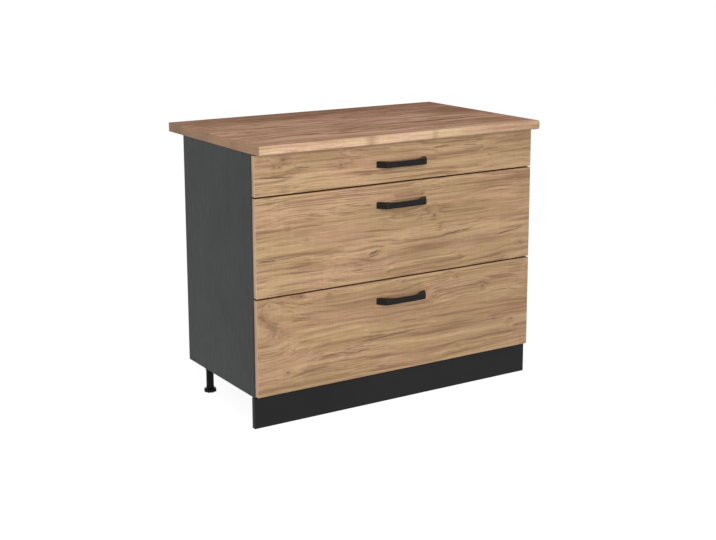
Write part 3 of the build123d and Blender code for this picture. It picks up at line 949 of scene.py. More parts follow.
# ---------------------------------------------------------------- finishes
FRONT_TONES = Tones(
    light=(0.54, 0.355, 0.205),
    middle=(0.415, 0.259, 0.142),
    dark=(0.255, 0.14, 0.073),
    heart=(0.085, 0.045, 0.026),
)
FRONT_OAKS = {
    "top": Oak(
        "oak_front_top",
        FRONT_TONES,
        knots=(
            Knot(-405, 788, 6, 1.8, -12, 0.7), Knot(-433, 771, 3.5, 1.4, 0, 0.6),
            Knot(-417, 769, 3.5, 1.4, 0, 0.6), Knot(-212, 758, 4, 1.5, 0, 0.6),
            Knot(330, 742, 3, 1.6, 0, 0.4),
        ),
        cracks=(
            Crack((-370, 763), (-306, 760), 2.8, 0.7), Crack((-497, 742), (-360, 737), 3.6, 0.85),
            Crack((112, 779), (180, 784), 3.0, 0.75), Crack((222, 778), (288, 777), 2.8, 0.65),
            Crack((-158, 721), (-100, 720), 2.6, 0.55),
        ),
        smudges_and_painted_shade=(Knot(-150, 726, 12, 6, 0, 0.4), Knot(-400, 783, 16, 2.2, -10, 0.35)),
        shift=2.0,
    ),
    "centre": Oak(
        "oak_front_centre",
        FRONT_TONES,
        knots=(
            Knot(77, 645, 3.0, 1.4, 0, 0.6), Knot(122, 571, 5.5, 1.1, 0, 0.65),
            Knot(144, 532, 4.0, 1.3, 0, 0.6), Knot(-388, 590, 3.0, 1.4, 0, 0.35),
            Knot(-329, 547, 3.0, 1.4, 0, 0.35), Knot(461, 445, 4.5, 1.4, 0, 0.6),
            Knot(217, 431, 3.0, 1.3, 0, 0.4), Knot(-94, 478, 9.0, 2.6, 10, 0.25),
            Knot(-80, 483, 3.2, 1.3, 0, 0.6),
        ),
        cracks=(
            Crack((-497, 502), (-425, 499), 3.8, 0.85), Crack((-440, 500), (-340, 505), 2.6, 0.6),
            Crack((-196, 633), (-86, 625), 3.4, 0.7), Crack((140, 503), (280, 516), 3.4, 0.8),
            Crack((352, 479), (476, 493), 3.4, 0.8), Crack((-180, 434), (-134, 434), 2.8, 0.7),
            Crack((-124, 475), (-80, 487), 3.4, 0.95), Crack((-122, 468), (-78, 473), 2.8, 0.75),
        ),
        smudges_and_painted_shade=(
            Knot(90, 476, 40, 5.5, 3, 0.55), Knot(330, 470, 34, 4.0, 3, 0.45),
            Knot(462, 655, 22, 1.6, 0, 0.55), Knot(-250, 511, 9, 12, 4, 0.4),
            Knot(-330, 640, 14, 6, 0, 0.35), Knot(420, 540, 16, 5, 8, 0.35),
        ),
        shift=13.0,
    ),
    "bottom": Oak(
        "oak_front_bottom",
        FRONT_TONES,
        knots=(
            Knot(-256, 375, 3.5, 1.4, 0, 0.55), Knot(-350, 382, 4, 1.6, 0, 0.55),
            Knot(-456, 370, 3.5, 1.4, 0, 0.5), Knot(-11, 381, 3, 1.3, 0, 0.5),
            Knot(8, 377, 3.5, 1.3, 0, 0.5), Knot(211, 363, 4, 1.4, 0, 0.5),
            Knot(311, 320, 5.5, 1.2, 0, 0.6), Knot(-398, 160, 5, 1.5, 0, 0.6),
            Knot(362, 205, 3.5, 1.4, 0, 0.45), Knot(430, 193, 3.5, 1.4, 0, 0.45),
            Knot(419, 179, 3.5, 1.4, 0, 0.45), Knot(217, 141, 3.5, 1.3, 0, 0.45),
            Knot(-478, 337, 13, 1.5, -55, 0.4), Knot(-449, 305, 16, 1.5, -38, 0.42),
        ),
        cracks=(
            Crack((-172, 210), (70, 218), 3.6, 0.8), Crack((-292, 188), (-222, 185), 3.2, 0.75),
            Crack((-162, 181), (-110, 183), 2.8, 0.65),
        ),
        smudges_and_painted_shade=(
            Knot(-462, 321, 24, 1.7, -45, 0.4), Knot(240, 318, 16, 9, 4, 0.4),
            Knot(-60, 352, 12, 9, 0, 0.3), Knot(200, 205, 26, 7, 2, 0.28),
        ),
        shift=29.0,
    ),
}
WORKTOP_OAK = Oak(
    "worktop_oak",
    Tones((0.86, 0.54, 0.385), (0.67, 0.39, 0.262), (0.28, 0.14, 0.088), (0.15, 0.07, 0.045)),
    knots=(
        Knot(-60, -170, 6, 2.0, 0, 0.45), Knot(150, -60, 5, 2.2, 0, 0.4),
        Knot(-300, 90, 6, 2.0, 0, 0.4), Knot(290, 120, 5, 2.0, 0, 0.35),
    ),
    # The last three patches are painted shade: wide, soft darkening of the rear and the right-hand
    # part of the top.
    smudges_and_painted_shade=(
        Knot(-60, -165, 12, 7, 0, 0.5), Knot(-200, 60, 14, 10, 0, 0.4),
        Knot(0, 320, 300, 5, 0, 0.75), Knot(440, 80, 170, 1.4, 0, 0.75),
        Knot(430, -200, 80, 3.0, 0, 0.35),
    ),
    shift=47.0,
    streak=1.3,
    wave=30.0,
    flat_top=True,
    roughness=0.55,
    specular=0.0,
)
# Painted light: the front rounding is the same postformed laminate as the top, but gets its own copy
# with other tones and weaker streaks, painting the brighter light that falls on it.
WORKTOP_OAK_PAINTED_LIT_FRONT = replace(
    WORKTOP_OAK,
    name="worktop_oak_painted_lit_front",
    tones=Tones((0.76, 0.53, 0.35), (0.6, 0.385, 0.245), (0.36, 0.19, 0.11), (0.15, 0.07, 0.045)),
    # The last patch is painted shade: a wide darkening of the right-hand end of the rounding.
    smudges_and_painted_shade=(
        Knot(-132, -300, 12, 2.2, 0, 0.6), Knot(96, -300, 9, 2.0, 0, 0.5),
        Knot(440, -300, 120, 3.0, 0, 0.5),
    ),
    streak=0.8,
    roughness=0.4,
    specular=0.4,
)
FRONT_EDGING = Laminate("oak_front_edging", (0.73, 0.49, 0.33), 0.45, 0.4, (3, 2, 60), 0.1)
# Painted shade: a dark brown for the fronts' top and bottom edges, standing for the shade in the gaps
# between the fronts.
FRONT_GAP_SHADE_EDGING = Laminate("oak_front_edging_gap_shade", (0.22, 0.11, 0.06), 0.5, 0.2, (60, 2, 2), 0.1)
WORKTOP_END = Laminate("worktop_end_edging", (0.46, 0.275, 0.166), 0.5, 0.2, (3, 55, 7), 0.32)
DARK_BOARD = Laminate("dark_board", (0.0285, 0.0305, 0.0302), 0.5, 0.25)
DARK_EDGING = Laminate("dark_board_edging", (0.028, 0.029, 0.03), 0.42, 0.35)
PLINTH_BOARD = Laminate("plinth_board", (0.0115, 0.0115, 0.0118), 0.5, 0.16)
INNER_BOARD = Laminate("inner_board", (0.06, 0.062, 0.063), 0.5, 0.3, (40, 3, 3))
BOX_BOARD = Laminate("box_board", (0.68, 0.68, 0.66), 0.5, 0.35, (3, 60, 3), 0.03)
BOX_BOTTOM = Laminate("box_bottom_board", (0.68, 0.68, 0.66), 0.45, 0.35, (12, 12, 12), 0.03)
BACK_BOARD = Laminate("back_board_lacquer", (0.68, 0.67, 0.64), 0.45, 0.35, (12, 12, 12), 0.03)
CHIPBOARD = Chipboard("raw_chipboard")
HARDBOARD = Hardboard("raw_hardboard")
COVER_CAP = Moulded("cover_cap_dark", (0.02, 0.021, 0.021), 0.5, 0.25)
HANDLE_BLACK = Moulded("handle_black", (0.0105, 0.0098, 0.0088), 0.42, 0.13, 0.5, 0.03)
LEG_PLASTIC = Moulded("leg_plastic", (0.003, 0.003, 0.0032), 0.45, 0.1)
SLIDE_STEEL = ZincSteel("slide_steel")
CAGE_STEEL = ZincSteel("cage_steel", (0.55, 0.56, 0.58), 0.28)
SCREW_STEEL = ZincSteel("screw_steel", (0.58, 0.57, 0.55), 0.36, (2, 2, 2))


# ---------------------------------------------------------------- pieces
def linked(name: str, data: bpy.types.ID) -> bpy.types.Object:
    """Puts a new object in the scene.

    Args:
        name: its name.
        data: its mesh, camera or light.

    Returns:
        The object.
    """
    made = bpy.data.objects.new(name, data)
    bpy.context.scene.collection.objects.link(made)
    return made


def make_piece(
    name: str,
    shell: Shell,
    slot: str,
    node: str,
    *finishes: Finish,
    sharp_degrees: float = 35.0,
) -> None:
    """Turns a shell into a piece that stands for a CAD node and rides on its body.

    Args:
        name: the piece's name.
        shell: its surface.
        slot: the record's material slot; not used.
        node: the CAD node that it replaces.
        *finishes: in the order of the shell's finish numbers.
        sharp_degrees: edges that turn more are sharp, where the shell has no point normals.
    """
    mesh = bpy.data.meshes.new(name)
    mesh.from_pydata(shell.points.tolist(), [], shell.faces)
    mesh.polygons.foreach_set("material_index", shell.finish_numbers())
    mesh.polygons.foreach_set("use_smooth", np.ones(len(shell.faces), bool))
    if shell.normals is None:
        mesh.set_sharp_from_angle(angle=math.radians(sharp_degrees))
    else:
        mesh.normals_split_custom_set_from_vertices(shell.normals.tolist())
    mesh.validate()
    for finish in finishes:
        mesh.materials.append(finish.material())
    piece = linked(name, mesh)
    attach(piece, frame["nodes"][node]["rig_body"])
    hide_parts(node)
    LOG.info("%s: %d points, %d faces", name, len(shell.points), len(shell.faces))


def dress_node(node: str, finish: Finish) -> None:
    """Gives a CAD node a finish in each of its material slots.

    Args:
        node: the node's name.
        finish: the finish.
    """
    mesh = frame["nodes"][node].data
    if not mesh.materials:
        mesh.materials.append(finish.material())
    for index in range(len(mesh.materials)):
        mesh.materials[index] = finish.material()
    LOG.info("%s keeps its CAD mesh", node)


class Drive(Enum):
    """Recess in a fastener's head: the star's points and the share that it is drawn in."""

    CROSS = (4, 0.6)
    SOCKET = (6, 0.14)


@dataclass(frozen=True)
class Fastener:
    """A turned fastener: shank, rounded head and a star-shaped recess."""

    head_radius: float
    head_height: float
    shank_radius: float
    length: float
    drive: Drive = Drive.CROSS
    recess_share: float = 0.55
    sides: int = 24

    def at(self, seat: Sequence[float], along: Along, flip: bool = False) -> Shell:
        """The fastener with its head on a seat.

        Its profile runs up the shank, out and over the head, and down into the recess, whose
        floor lies a tenth of the head's height above the seat.

        Args:
            seat: where the axis meets the seat.
            along: the axis; the head points along it.
            flip: the head points against the axis.

        Returns:
            The closed shell.
        """
        points, depth = self.drive.value
        wide, tall, thin = self.head_radius, self.head_height, self.shank_radius
        recess = self.recess_share * wide
        profile = (
            (0.1 * thin, -self.length, 0),
            (thin, -self.length + 2 * thin, 0),
            (thin, 0, 0),
            (wide, 0, 0),
            (wide, 0.45 * tall, 0),
            (0.93 * wide, 0.8 * tall, 0),
            (0.78 * wide, tall, 0),
            (recess, tall, depth),
            (0.85 * recess, 0.1 * tall, depth),
            (0.1 * recess, 0.1 * tall, 0),
        )
        return revolved(profile, seat, along, self.sides, points, flip)


PAN_SCREW = Fastener(4.0 * MM, 2.2 * MM, 2.0 * MM, 12 * MM)
CHANNEL_SCREW = Fastener(3.9 * MM, 0.12 * MM, 3.0 * MM, 12 * MM)
HANDLE_SCREW = Fastener(4.0 * MM, 2.2 * MM, 2.0 * MM, 26 * MM)
CORNER_SCREW = Fastener(5.0 * MM, 0.3 * MM, 3.5 * MM, 40 * MM, Drive.SOCKET)
CAM = Fastener(7.5 * MM, 0.3 * MM, 7.0 * MM, 12 * MM, recess_share=0.42)


# ---------------------------------------------------------------- sub-assemblies
@dataclass
class Carcass:
    """Side panels, floor, rails, back panel and worktop."""

    edge_radius: float = 0.6 * MM
    sheet_radius: float = 0.3 * MM
    worktop_front_radius: float = 7.0 * MM
    worktop_edge_radius: float = 0.8 * MM
    cap_radius: float = 6.0 * MM
    cap_height: float = 0.35 * MM
    cap_row_inset: float = 34.0 * MM
    rail_half: float = 50.0 * MM
    worktop_screw_x: float = 330.0 * MM

    def side_panels(self) -> None:
        """Both sides: dark laminate with an edged front, raw chipboard elsewhere.

        The outer face lies a cap's height inside the CAD face, so that the caps end on it.
        """
        coats = (Coat(1, (Facing.FRONT,)), Coat(2, (Facing.REAR, Facing.UP, Facing.DOWN)))
        for side, outward in (("left", -1), ("right", 1)):
            node = f"side_panel_{side}"
            low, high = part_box(node)
            (low if outward < 0 else high).x -= outward * self.cap_height
            shell = board(low, high, self.edge_radius).painted(*coats)
            finishes = (DARK_BOARD, DARK_EDGING, CHIPBOARD)
            make_piece(f"{node}_board", shell, "dark_board", node, *finishes)

    def cover_caps(self) -> None:
        """Thin dark caps over the eight confirmat screws, four on each side."""
        low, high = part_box("side_panel_left")
        floor_rows = (low.y + self.cap_row_inset, high.y - self.cap_row_inset)
        rail_rows = (low.y + self.rail_half, box_middle("rear_top_rail").y)
        places = [(y, low.z + HALF_BOARD) for y in floor_rows]
        places += [(y, high.z - HALF_BOARD) for y in rail_rows]
        wide, tall = self.cap_radius, self.cap_height
        profile = (
            (0.5 * wide, -2 * tall),
            (wide, -tall),
            (wide, 0.35 * tall),
            (0.96 * wide, 0.8 * tall),
            (0.88 * wide, tall),
            (0.05 * wide, tall),
        )
        caps = [revolved(profile, (low.x + tall, *place), Along.X, flip=True) for place in places]
        make_piece("cover_caps", both_sides(caps), "screw_steel", "carcass_screws", COVER_CAP)

    def inner_boards(self) -> None:
        """Floor panel and rails, edged at the front and raw behind."""
        for node in ("floor_panel", "front_top_rail", "rear_top_rail"):
            shell = node_board(node, self.edge_radius)
            shell.painted(Coat(1, (Facing.FRONT,)), Coat(2, (Facing.REAR,)))
            finishes = (INNER_BOARD, DARK_EDGING, CHIPBOARD)
            make_piece(f"{node}_board", shell, "inner_board", node, *finishes)

    def back_panel(self) -> None:
        """Thin board: lacquered inside, bare hardboard behind."""
        shell = node_board("back_panel", self.sheet_radius, steps=1).painted(Coat(1, (Facing.REAR,)))
        make_piece("back_panel_sheet", shell, "back_board", "back_panel", BACK_BOARD, HARDBOARD)

    def worktop(self) -> None:
        """Postformed slab: a section with a rounded front edge, carried along X."""
        low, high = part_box("worktop")
        small, large = self.worktop_edge_radius, self.worktop_front_radius
        radii = (small, large, large, small)
        outline = rounded_rectangle((low.y, low.z), (high.y, high.z), radii, steps=8)
        shell = softened_prism(outline, low.x, high.x, small, Along.X)
        shell.painted(
            Coat(1, (Facing.LEFT, Facing.RIGHT)),
            # the front rounding takes the painted-light copy of the oak
            Coat(2, (Facing.FRONT,), limit=0.35),
            Coat(3, (Facing.REAR,)),
            Coat(3, (Facing.DOWN,), limit=0.9),
        )
        finishes = (WORKTOP_OAK, WORKTOP_END, WORKTOP_OAK_PAINTED_LIT_FRONT, CHIPBOARD)
        make_piece("worktop_slab", shell, "worktop_laminate", "worktop", *finishes)

    def screws(self) -> None:
        """Screws up into the worktop and through the cabinet channels."""
        heads = []
        for rail in ("front_top_rail", "rear_top_rail"):
            seat = (-self.worktop_screw_x, box_middle(rail).y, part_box(rail)[0].z)
            heads.append(PAN_SCREW.at(seat, Along.Z, True))
        shell = both_sides(heads)
        make_piece("worktop_screw_heads", shell, "screw_steel", "worktop_screws", SCREW_STEEL)
        heads = []
        for node in (f"{name}_slide_cabinet_channels" for name in DRAWERS):
            low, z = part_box(node)[0], box_middle(node).z
            for row in CHANNEL_SCREW_ROWS:
                heads.append(CHANNEL_SCREW.at((low.x + CHANNEL_SHEET, low.y + row, z), Along.X))
        shell = both_sides(heads)
        make_piece("slide_screw_heads", shell, "screw_steel", "slide_screws", SCREW_STEEL)

    def build(self) -> None:
        """Builds every piece of the carcass."""
        self.side_panels()
        self.cover_caps()
        self.inner_boards()
        self.back_panel()
        self.worktop()
        self.screws()


@dataclass
class Base:
    """Plinth, clips, leg sockets and screw feet."""

    edge_radius: float = 0.6 * MM
    plate_half: float = 25.0 * MM
    plate_thickness: float = 4.0 * MM
    plate_corner: float = 8.0 * MM
    plate_edge: float = 0.8 * MM
    tube_radius: float = 12.5 * MM
    tube_wall: float = 6.9 * MM
    tube_chamfer: float = 0.8 * MM
    tube_waist: float = 0.7 * MM
    tube_lower_collar: float = 5.0 * MM
    tube_upper_collar: float = 20.0 * MM
    tube_root: float = 2.0 * MM
    bore_depth: float = 55.0 * MM
    rib_reach: float = 9.0 * MM
    rib_half: float = 1.5 * MM
    screw_offset: float = 17.0 * MM
    foot_radius: float = 20.0 * MM
    foot_height: float = 12.0 * MM
    foot_lobes: int = 8
    lobe_depth: float = 0.16
    stem_radius: float = 5.0 * MM
    stem_start: float = 0.5 * MM
    thread_pitch: float = 2.5 * MM
    thread_depth: float = 0.7 * MM
    thread_rows: int = 6
    thread_sides: int = 18
    clip_plate: tuple[float, float, float] = (22.0 * MM, 15.0 * MM, 3.0 * MM)
    clip_edge: float = 0.7 * MM
    jaw_half: float = 17.3 * MM
    jaw_bore: float = 12.8 * MM
    jaw_reach: float = 33.0 * MM
    jaw_height: float = 14.0 * MM
    jaw_steps: int = 24
    leg_behind_plinth: float = 27.0 * MM

    def leg_places(self) -> list[tuple[float, float]]:
        """Places the legs by their node's box.

        Returns:
            X and Y of the four legs.
        """
        low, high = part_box("legs")
        inset = self.plate_half
        rows, columns = (low.y + inset, high.y - inset), (low.x + inset, high.x - inset)
        return [(x, y) for x in columns for y in rows]

    def leg(self, x: float, y: float, low: float, high: float) -> Shell:
        """One socket: rounded plate, two crossed ribs and a tube with a bore.

        Args:
            x: of the tube's axis.
            y: of the tube's axis.
            low: lower end of the tube.
            high: upper face of the plate.

        Returns:
            The joined shell.
        """
        half, seat = self.plate_half, high - self.plate_thickness
        corners = (x - half, y - half), (x + half, y + half)
        outline = rounded_rectangle(*corners, self.plate_corner, steps=4)
        plate = softened_prism(outline, seat, high, self.plate_edge)
        wide, inner = self.tube_radius, self.tube_radius - self.tube_wall
        cut, waist = self.tube_chamfer, wide - self.tube_waist
        collar, shoulder = low + self.tube_lower_collar, seat - self.tube_upper_collar
        profile = (
            (0.1 * inner, low + self.bore_depth),
            (inner, low + self.bore_depth),
            (inner, low + 1.25 * cut),
            (inner + cut, low),
            (wide - cut, low),
            (wide, low + 1.125 * cut),
            (wide, collar),
            (waist, collar + 0.75 * cut),
            (waist, shoulder - self.tube_root),
            (wide, shoulder),
            (wide, seat - self.tube_root),
            (wide + self.tube_root, seat),
            (0.1 * wide, seat + 0.5 * self.plate_thickness),
        )
        tube = revolved(profile, (x, y, 0), sides=36)
        reach, drop = wide + self.rib_reach, 2 * self.rib_reach
        across = [(-reach, seat), (reach, seat), (wide, seat - drop), (-wide, seat - drop)]
        rib = self.rib_half
        along_x = prism([(z, x + a) for a, z in across], y - rib, y + rib, Along.Y)
        along_y = prism([(y + a, z) for a, z in across], x - rib, x + rib, Along.X)
        return joined([plate, tube, along_x, along_y])

    def legs(self) -> None:
        """The four sockets and the two screws in each plate."""
        low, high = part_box("legs")
        places = self.leg_places()
        sockets = joined([self.leg(x, y, low.z, high.z) for x, y in places])
        make_piece("leg_sockets", sockets, "leg_plastic", "legs", LEG_PLASTIC)
        seat, offset = high.z - self.plate_thickness, self.screw_offset
        heads = []
        for x, y in places:
            across = math.copysign(offset, -x)
            for sign in (-1, 1):
                place = (x + sign * across, y + sign * offset, seat)
                heads.append(PAN_SCREW.at(place, Along.Z, True))
        make_piece("leg_screw_heads", joined(heads), "screw_steel", "leg_screws", SCREW_STEEL)

    def stem(self, middle: Vector, low: float, high: float) -> Shell:
        """A foot's upright thread.

        At a turn a and a height h, the radius is drawn in by the thread's depth times
        (1 + cos(a - 2 pi h / pitch)) / 2, so the groove winds up by a pitch in each turn.

        Args:
            middle: a point of the axis.
            low: lowest level.
            high: highest level.

        Returns:
            The closed shell; it has no point normals.
        """
        rows = int(self.thread_rows * (high - low) / self.thread_pitch)
        levels = np.linspace(low, high, rows + 1)
        turns = np.linspace(0, 2 * np.pi, self.thread_sides, endpoint=False)
        height, angle = np.meshgrid(levels, turns, indexing="ij")
        groove = (1 + np.cos(angle - 2 * np.pi * height / self.thread_pitch)) / 2
        across = self.stem_radius - self.thread_depth * groove
        x, y = middle.x + across * np.cos(angle), middle.y + across * np.sin(angle)
        return closed_grid(np.stack([x, y, height], axis=-1))

    def foot(self, node: str) -> None:
        """A lobed base, its edges rounded, with a threaded stem.

        Args:
            node: the foot's CAD node.
        """
        low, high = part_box(node)
        middle = box_middle(node)
        wide, tall, depth = self.foot_radius, self.foot_height, self.lobe_depth
        profile = (
            (0.1 * wide, 0, 0),
            (0.9 * wide, 0, depth),
            (0.97 * wide, 0.06 * tall, depth),
            (wide, 0.2 * tall, depth),
            (wide, 0.66 * tall, depth),
            (0.97 * wide, 0.8 * tall, depth),
            (0.9 * wide, 0.88 * tall, depth),
            (0.72 * wide, 0.9 * tall, 0.3 * depth),
            (0.62 * wide, 0.94 * tall, 0),
            (0.58 * wide, tall, 0),
            (0.1 * wide, tall, 0),
        )
        base = revolved(profile, (middle.x, middle.y, low.z), sides=96, lobes=self.foot_lobes)
        stem = self.stem(middle, low.z + tall - self.stem_start, high.z)
        shell = joined([base, stem])
        make_piece(f"{node}_moulding", shell, "leg_plastic", node, LEG_PLASTIC, sharp_degrees=40)

    def clips(self) -> None:
        """Plate on the plinth and jaws round a front leg, the jaws one outline carried up."""
        wall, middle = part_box("plinth")[1].y, box_middle("plinth_clips").z
        half_x, half_z, thick = self.clip_plate
        back, tip = self.leg_behind_plinth, self.jaw_reach - self.leg_behind_plinth
        mouth = math.asin(tip / self.jaw_bore)
        angle = np.linspace(mouth, -math.pi - mouth, self.jaw_steps + 1)
        bore = np.stack([np.cos(angle), np.sin(angle)], axis=1) * self.jaw_bore
        half = self.jaw_half
        outline = np.vstack([bore, [(-half, tip), (-half, -back), (half, -back), (half, tip)]])
        rise = self.jaw_height / 2
        shells = []
        for x in sorted({x for x, _ in self.leg_places()}):
            low = (x - half_x, wall, middle - half_z)
            high = (x + half_x, wall + thick, middle + half_z)
            shells.append(board(low, high, self.clip_edge))
            shells.append(prism(outline + (x, wall + back), middle - rise, middle + rise))
        shell = joined(shells)
        make_piece("plinth_clip_jaws", shell, "leg_plastic", "plinth_clips", LEG_PLASTIC)

    def build(self) -> None:
        """Builds every piece below the carcass."""
        shell = node_board("plinth", self.edge_radius)
        make_piece("plinth_board", shell, "dark_board", "plinth", PLINTH_BOARD)
        self.legs()
        self.clips()
        for node in (n for n in frame["nodes"] if n.startswith("foot_")):
            self.foot(node)


@dataclass
class BowHandle:
    """Bent black bow: two splayed feet and a bar, one rounded section carried along the bow."""

    drawer: str
    wall_half: float = 90.0 * MM
    bar_half: float = 70.0 * MM
    foot_inner: float = 75.0 * MM
    bar_inner: float = 39.0 * MM
    projection: float = 32.0 * MM
    thickness: float = 8.0 * MM
    outer_radius: float = 8.0 * MM
    inner_radius: float = 30.0 * MM
    foot_height: float = 20.0 * MM
    bar_height: float = 17.5 * MM
    edge_radius: float = 1.8 * MM
    leg_steps: int = 4
    bend_steps: int = 12
    bar_steps: int = 6
    corner_steps: int = 4

    def bent_line(
        self, wall: float, bar: float, depth: float, radius: float
    ) -> tuple[np.ndarray, np.ndarray]:
        """One side of the bow: leg, fillet, bar, and the same again mirrored.

        The leg leans by a = atan((wall - bar) / depth). The fillet's centre lies a radius behind
        the bar's line and radius * tan((90 degrees - a) / 2) inside its corner; its points are
        the centre plus the radius times the unit vector at an angle from -a to -90 degrees, and
        that vector is the normal.

        Args:
            wall: x at the wall.
            bar: x of the corner that the fillet rounds.
            depth: how far the bar's line lies ahead of the wall.
            radius: of the fillet.

        Returns:
            Points (x, y) from wall to wall, and their normals away from the wall.
        """
        lean = math.atan2(wall - bar, depth)
        reach = radius * math.tan((math.pi / 2 - lean) / 2)
        angle = np.linspace(-lean, -math.pi / 2, self.bend_steps + 1)
        unit = np.stack([np.cos(angle), np.sin(angle)], axis=1)
        arc = radius * unit + (bar - reach, radius - depth)
        leg = np.linspace((wall, 0.0), arc[0], self.leg_steps, endpoint=False)
        half_bar = np.linspace(arc[-1], (0.0, -depth), self.bar_steps + 1)[1:]
        points = np.vstack([leg, arc, half_bar])
        ends = np.repeat(unit[:1], len(leg), 0), np.repeat(unit[-1:], len(half_bar), 0)
        normals = np.vstack([ends[0], unit, ends[1]])
        return tuple(np.vstack([a, (a * (-1.0, 1.0))[-2::-1]]) for a in (points, normals))

    def build(self) -> None:
        """Carries a rounded rectangle along the bow, between its outer and inner lines.

        Each corner of the section lies an edge radius inside its line and inside the upper or
        lower face, and is rounded by that radius; both end rings are laid flat on the wall.
        """
        node = f"{self.drawer}_drawer_handle"
        outer, outward = self.bent_line(
            self.wall_half, self.bar_half, self.projection, self.outer_radius
        )
        inner, inward = self.bent_line(
            self.foot_inner, self.bar_inner, self.projection - self.thickness, self.inner_radius
        )
        bend = rounded_rectangle((-1, -1), (1, 1), 1.0, self.corner_steps).normals
        corners = np.array([(1, 1), (-1, 1), (-1, -1), (1, -1)])
        corner = np.repeat(corners, self.corner_steps + 1, axis=0)
        on_outer = (corner[:, 0] > 0)[None, :, None]
        line = np.where(on_outer, outer[:, None], inner[:, None])
        normal = np.where(on_outer, outward[:, None], inward[:, None])
        radius = self.edge_radius
        flat = line + radius * (bend[:, :1] - corner[:, :1])[None] * normal
        flat[[0, -1], :, 1] = 0
        ahead = np.clip(-outer[:, 1] / self.projection, 0, 1)
        half_height = (self.foot_height + (self.bar_height - self.foot_height) * ahead) / 2
        height = corner[:, 1] * (half_height - radius)[:, None] + radius * bend[:, 1]
        points = np.concatenate([flat, height[..., None]], axis=2)
        side = bend[None, :, :1] * normal
        up = np.broadcast_to(bend[None, :, 1:], (*side.shape[:2], 1))
        wall = (0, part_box(node)[1].y, box_middle(node).z)
        shell = closed_grid(points + wall, np.concatenate([side, up], axis=2))
        make_piece(f"{node}_bow", shell, "handle_black", node, HANDLE_BLACK)


@dataclass
class Slides:
    """The ball-bearing slides of one drawer: bent channels, cages and round balls."""

    drawer: str
    strip: float = 0.5 * MM
    ball_radius: float = 2.0 * MM
    ball_pole: float = 0.08
    ball_rings: int = 7
    ball_sides: int = 9
    balls_in_row: int = 8
    outer_reach: float = 2.75 * MM
    inner_reach: float = 3.862 * MM
    rim: float = 2.75 * MM

    def cages(self, kind: str, reach: float) -> None:
        """Two cages: a U-shaped strip carried along Y, and balls in its upper and lower flange.

        A ball is a half circle turned round, with a tiny flat at each pole: at an angle t from
        the bottom, its radius is r sin t and its level is -r cos t.

        Args:
            kind: outer or inner.
            reach: from the web's near face to the balls' centres.
        """
        node = f"{self.drawer}_slide_{kind}_cages"
        low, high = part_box(node)
        wall, end = low.x, low.x + reach + self.rim
        bottom, top = low.z + self.ball_radius, high.z - self.ball_radius
        half, web = self.strip / 2, wall + self.strip
        section = [(bottom - half, wall), (bottom - half, end), (bottom + half, end)]
        section += [(bottom + half, web), (top - half, web)]
        section += [(top - half, end), (top + half, end), (top + half, wall)]
        shells = [prism(section, low.y, high.y, Along.Y)]
        turn = np.linspace(self.ball_pole, np.pi - self.ball_pole, self.ball_rings)
        arc = self.ball_radius * np.stack([np.sin(turn), -np.cos(turn)], axis=1)
        pitch = (high.y - low.y) / self.balls_in_row
        for number in range(self.balls_in_row):
            y = low.y + (number + 0.5) * pitch
            for z in (bottom, top):
                shells.append(revolved(arc, (wall + reach, y, z), sides=self.ball_sides))
        shell = both_sides(shells)
        make_piece(f"{node}_balls", shell, "cage_steel", node, CAGE_STEEL, sharp_degrees=50)

    def build(self) -> None:
        """Dresses the channels and builds the cages."""
        for part in ("cabinet_channels", "middle_channels", "drawer_channels"):
            dress_node(f"{self.drawer}_slide_{part}", SLIDE_STEEL)
        self.cages("outer", self.outer_reach)
        self.cages("inner", self.inner_reach)


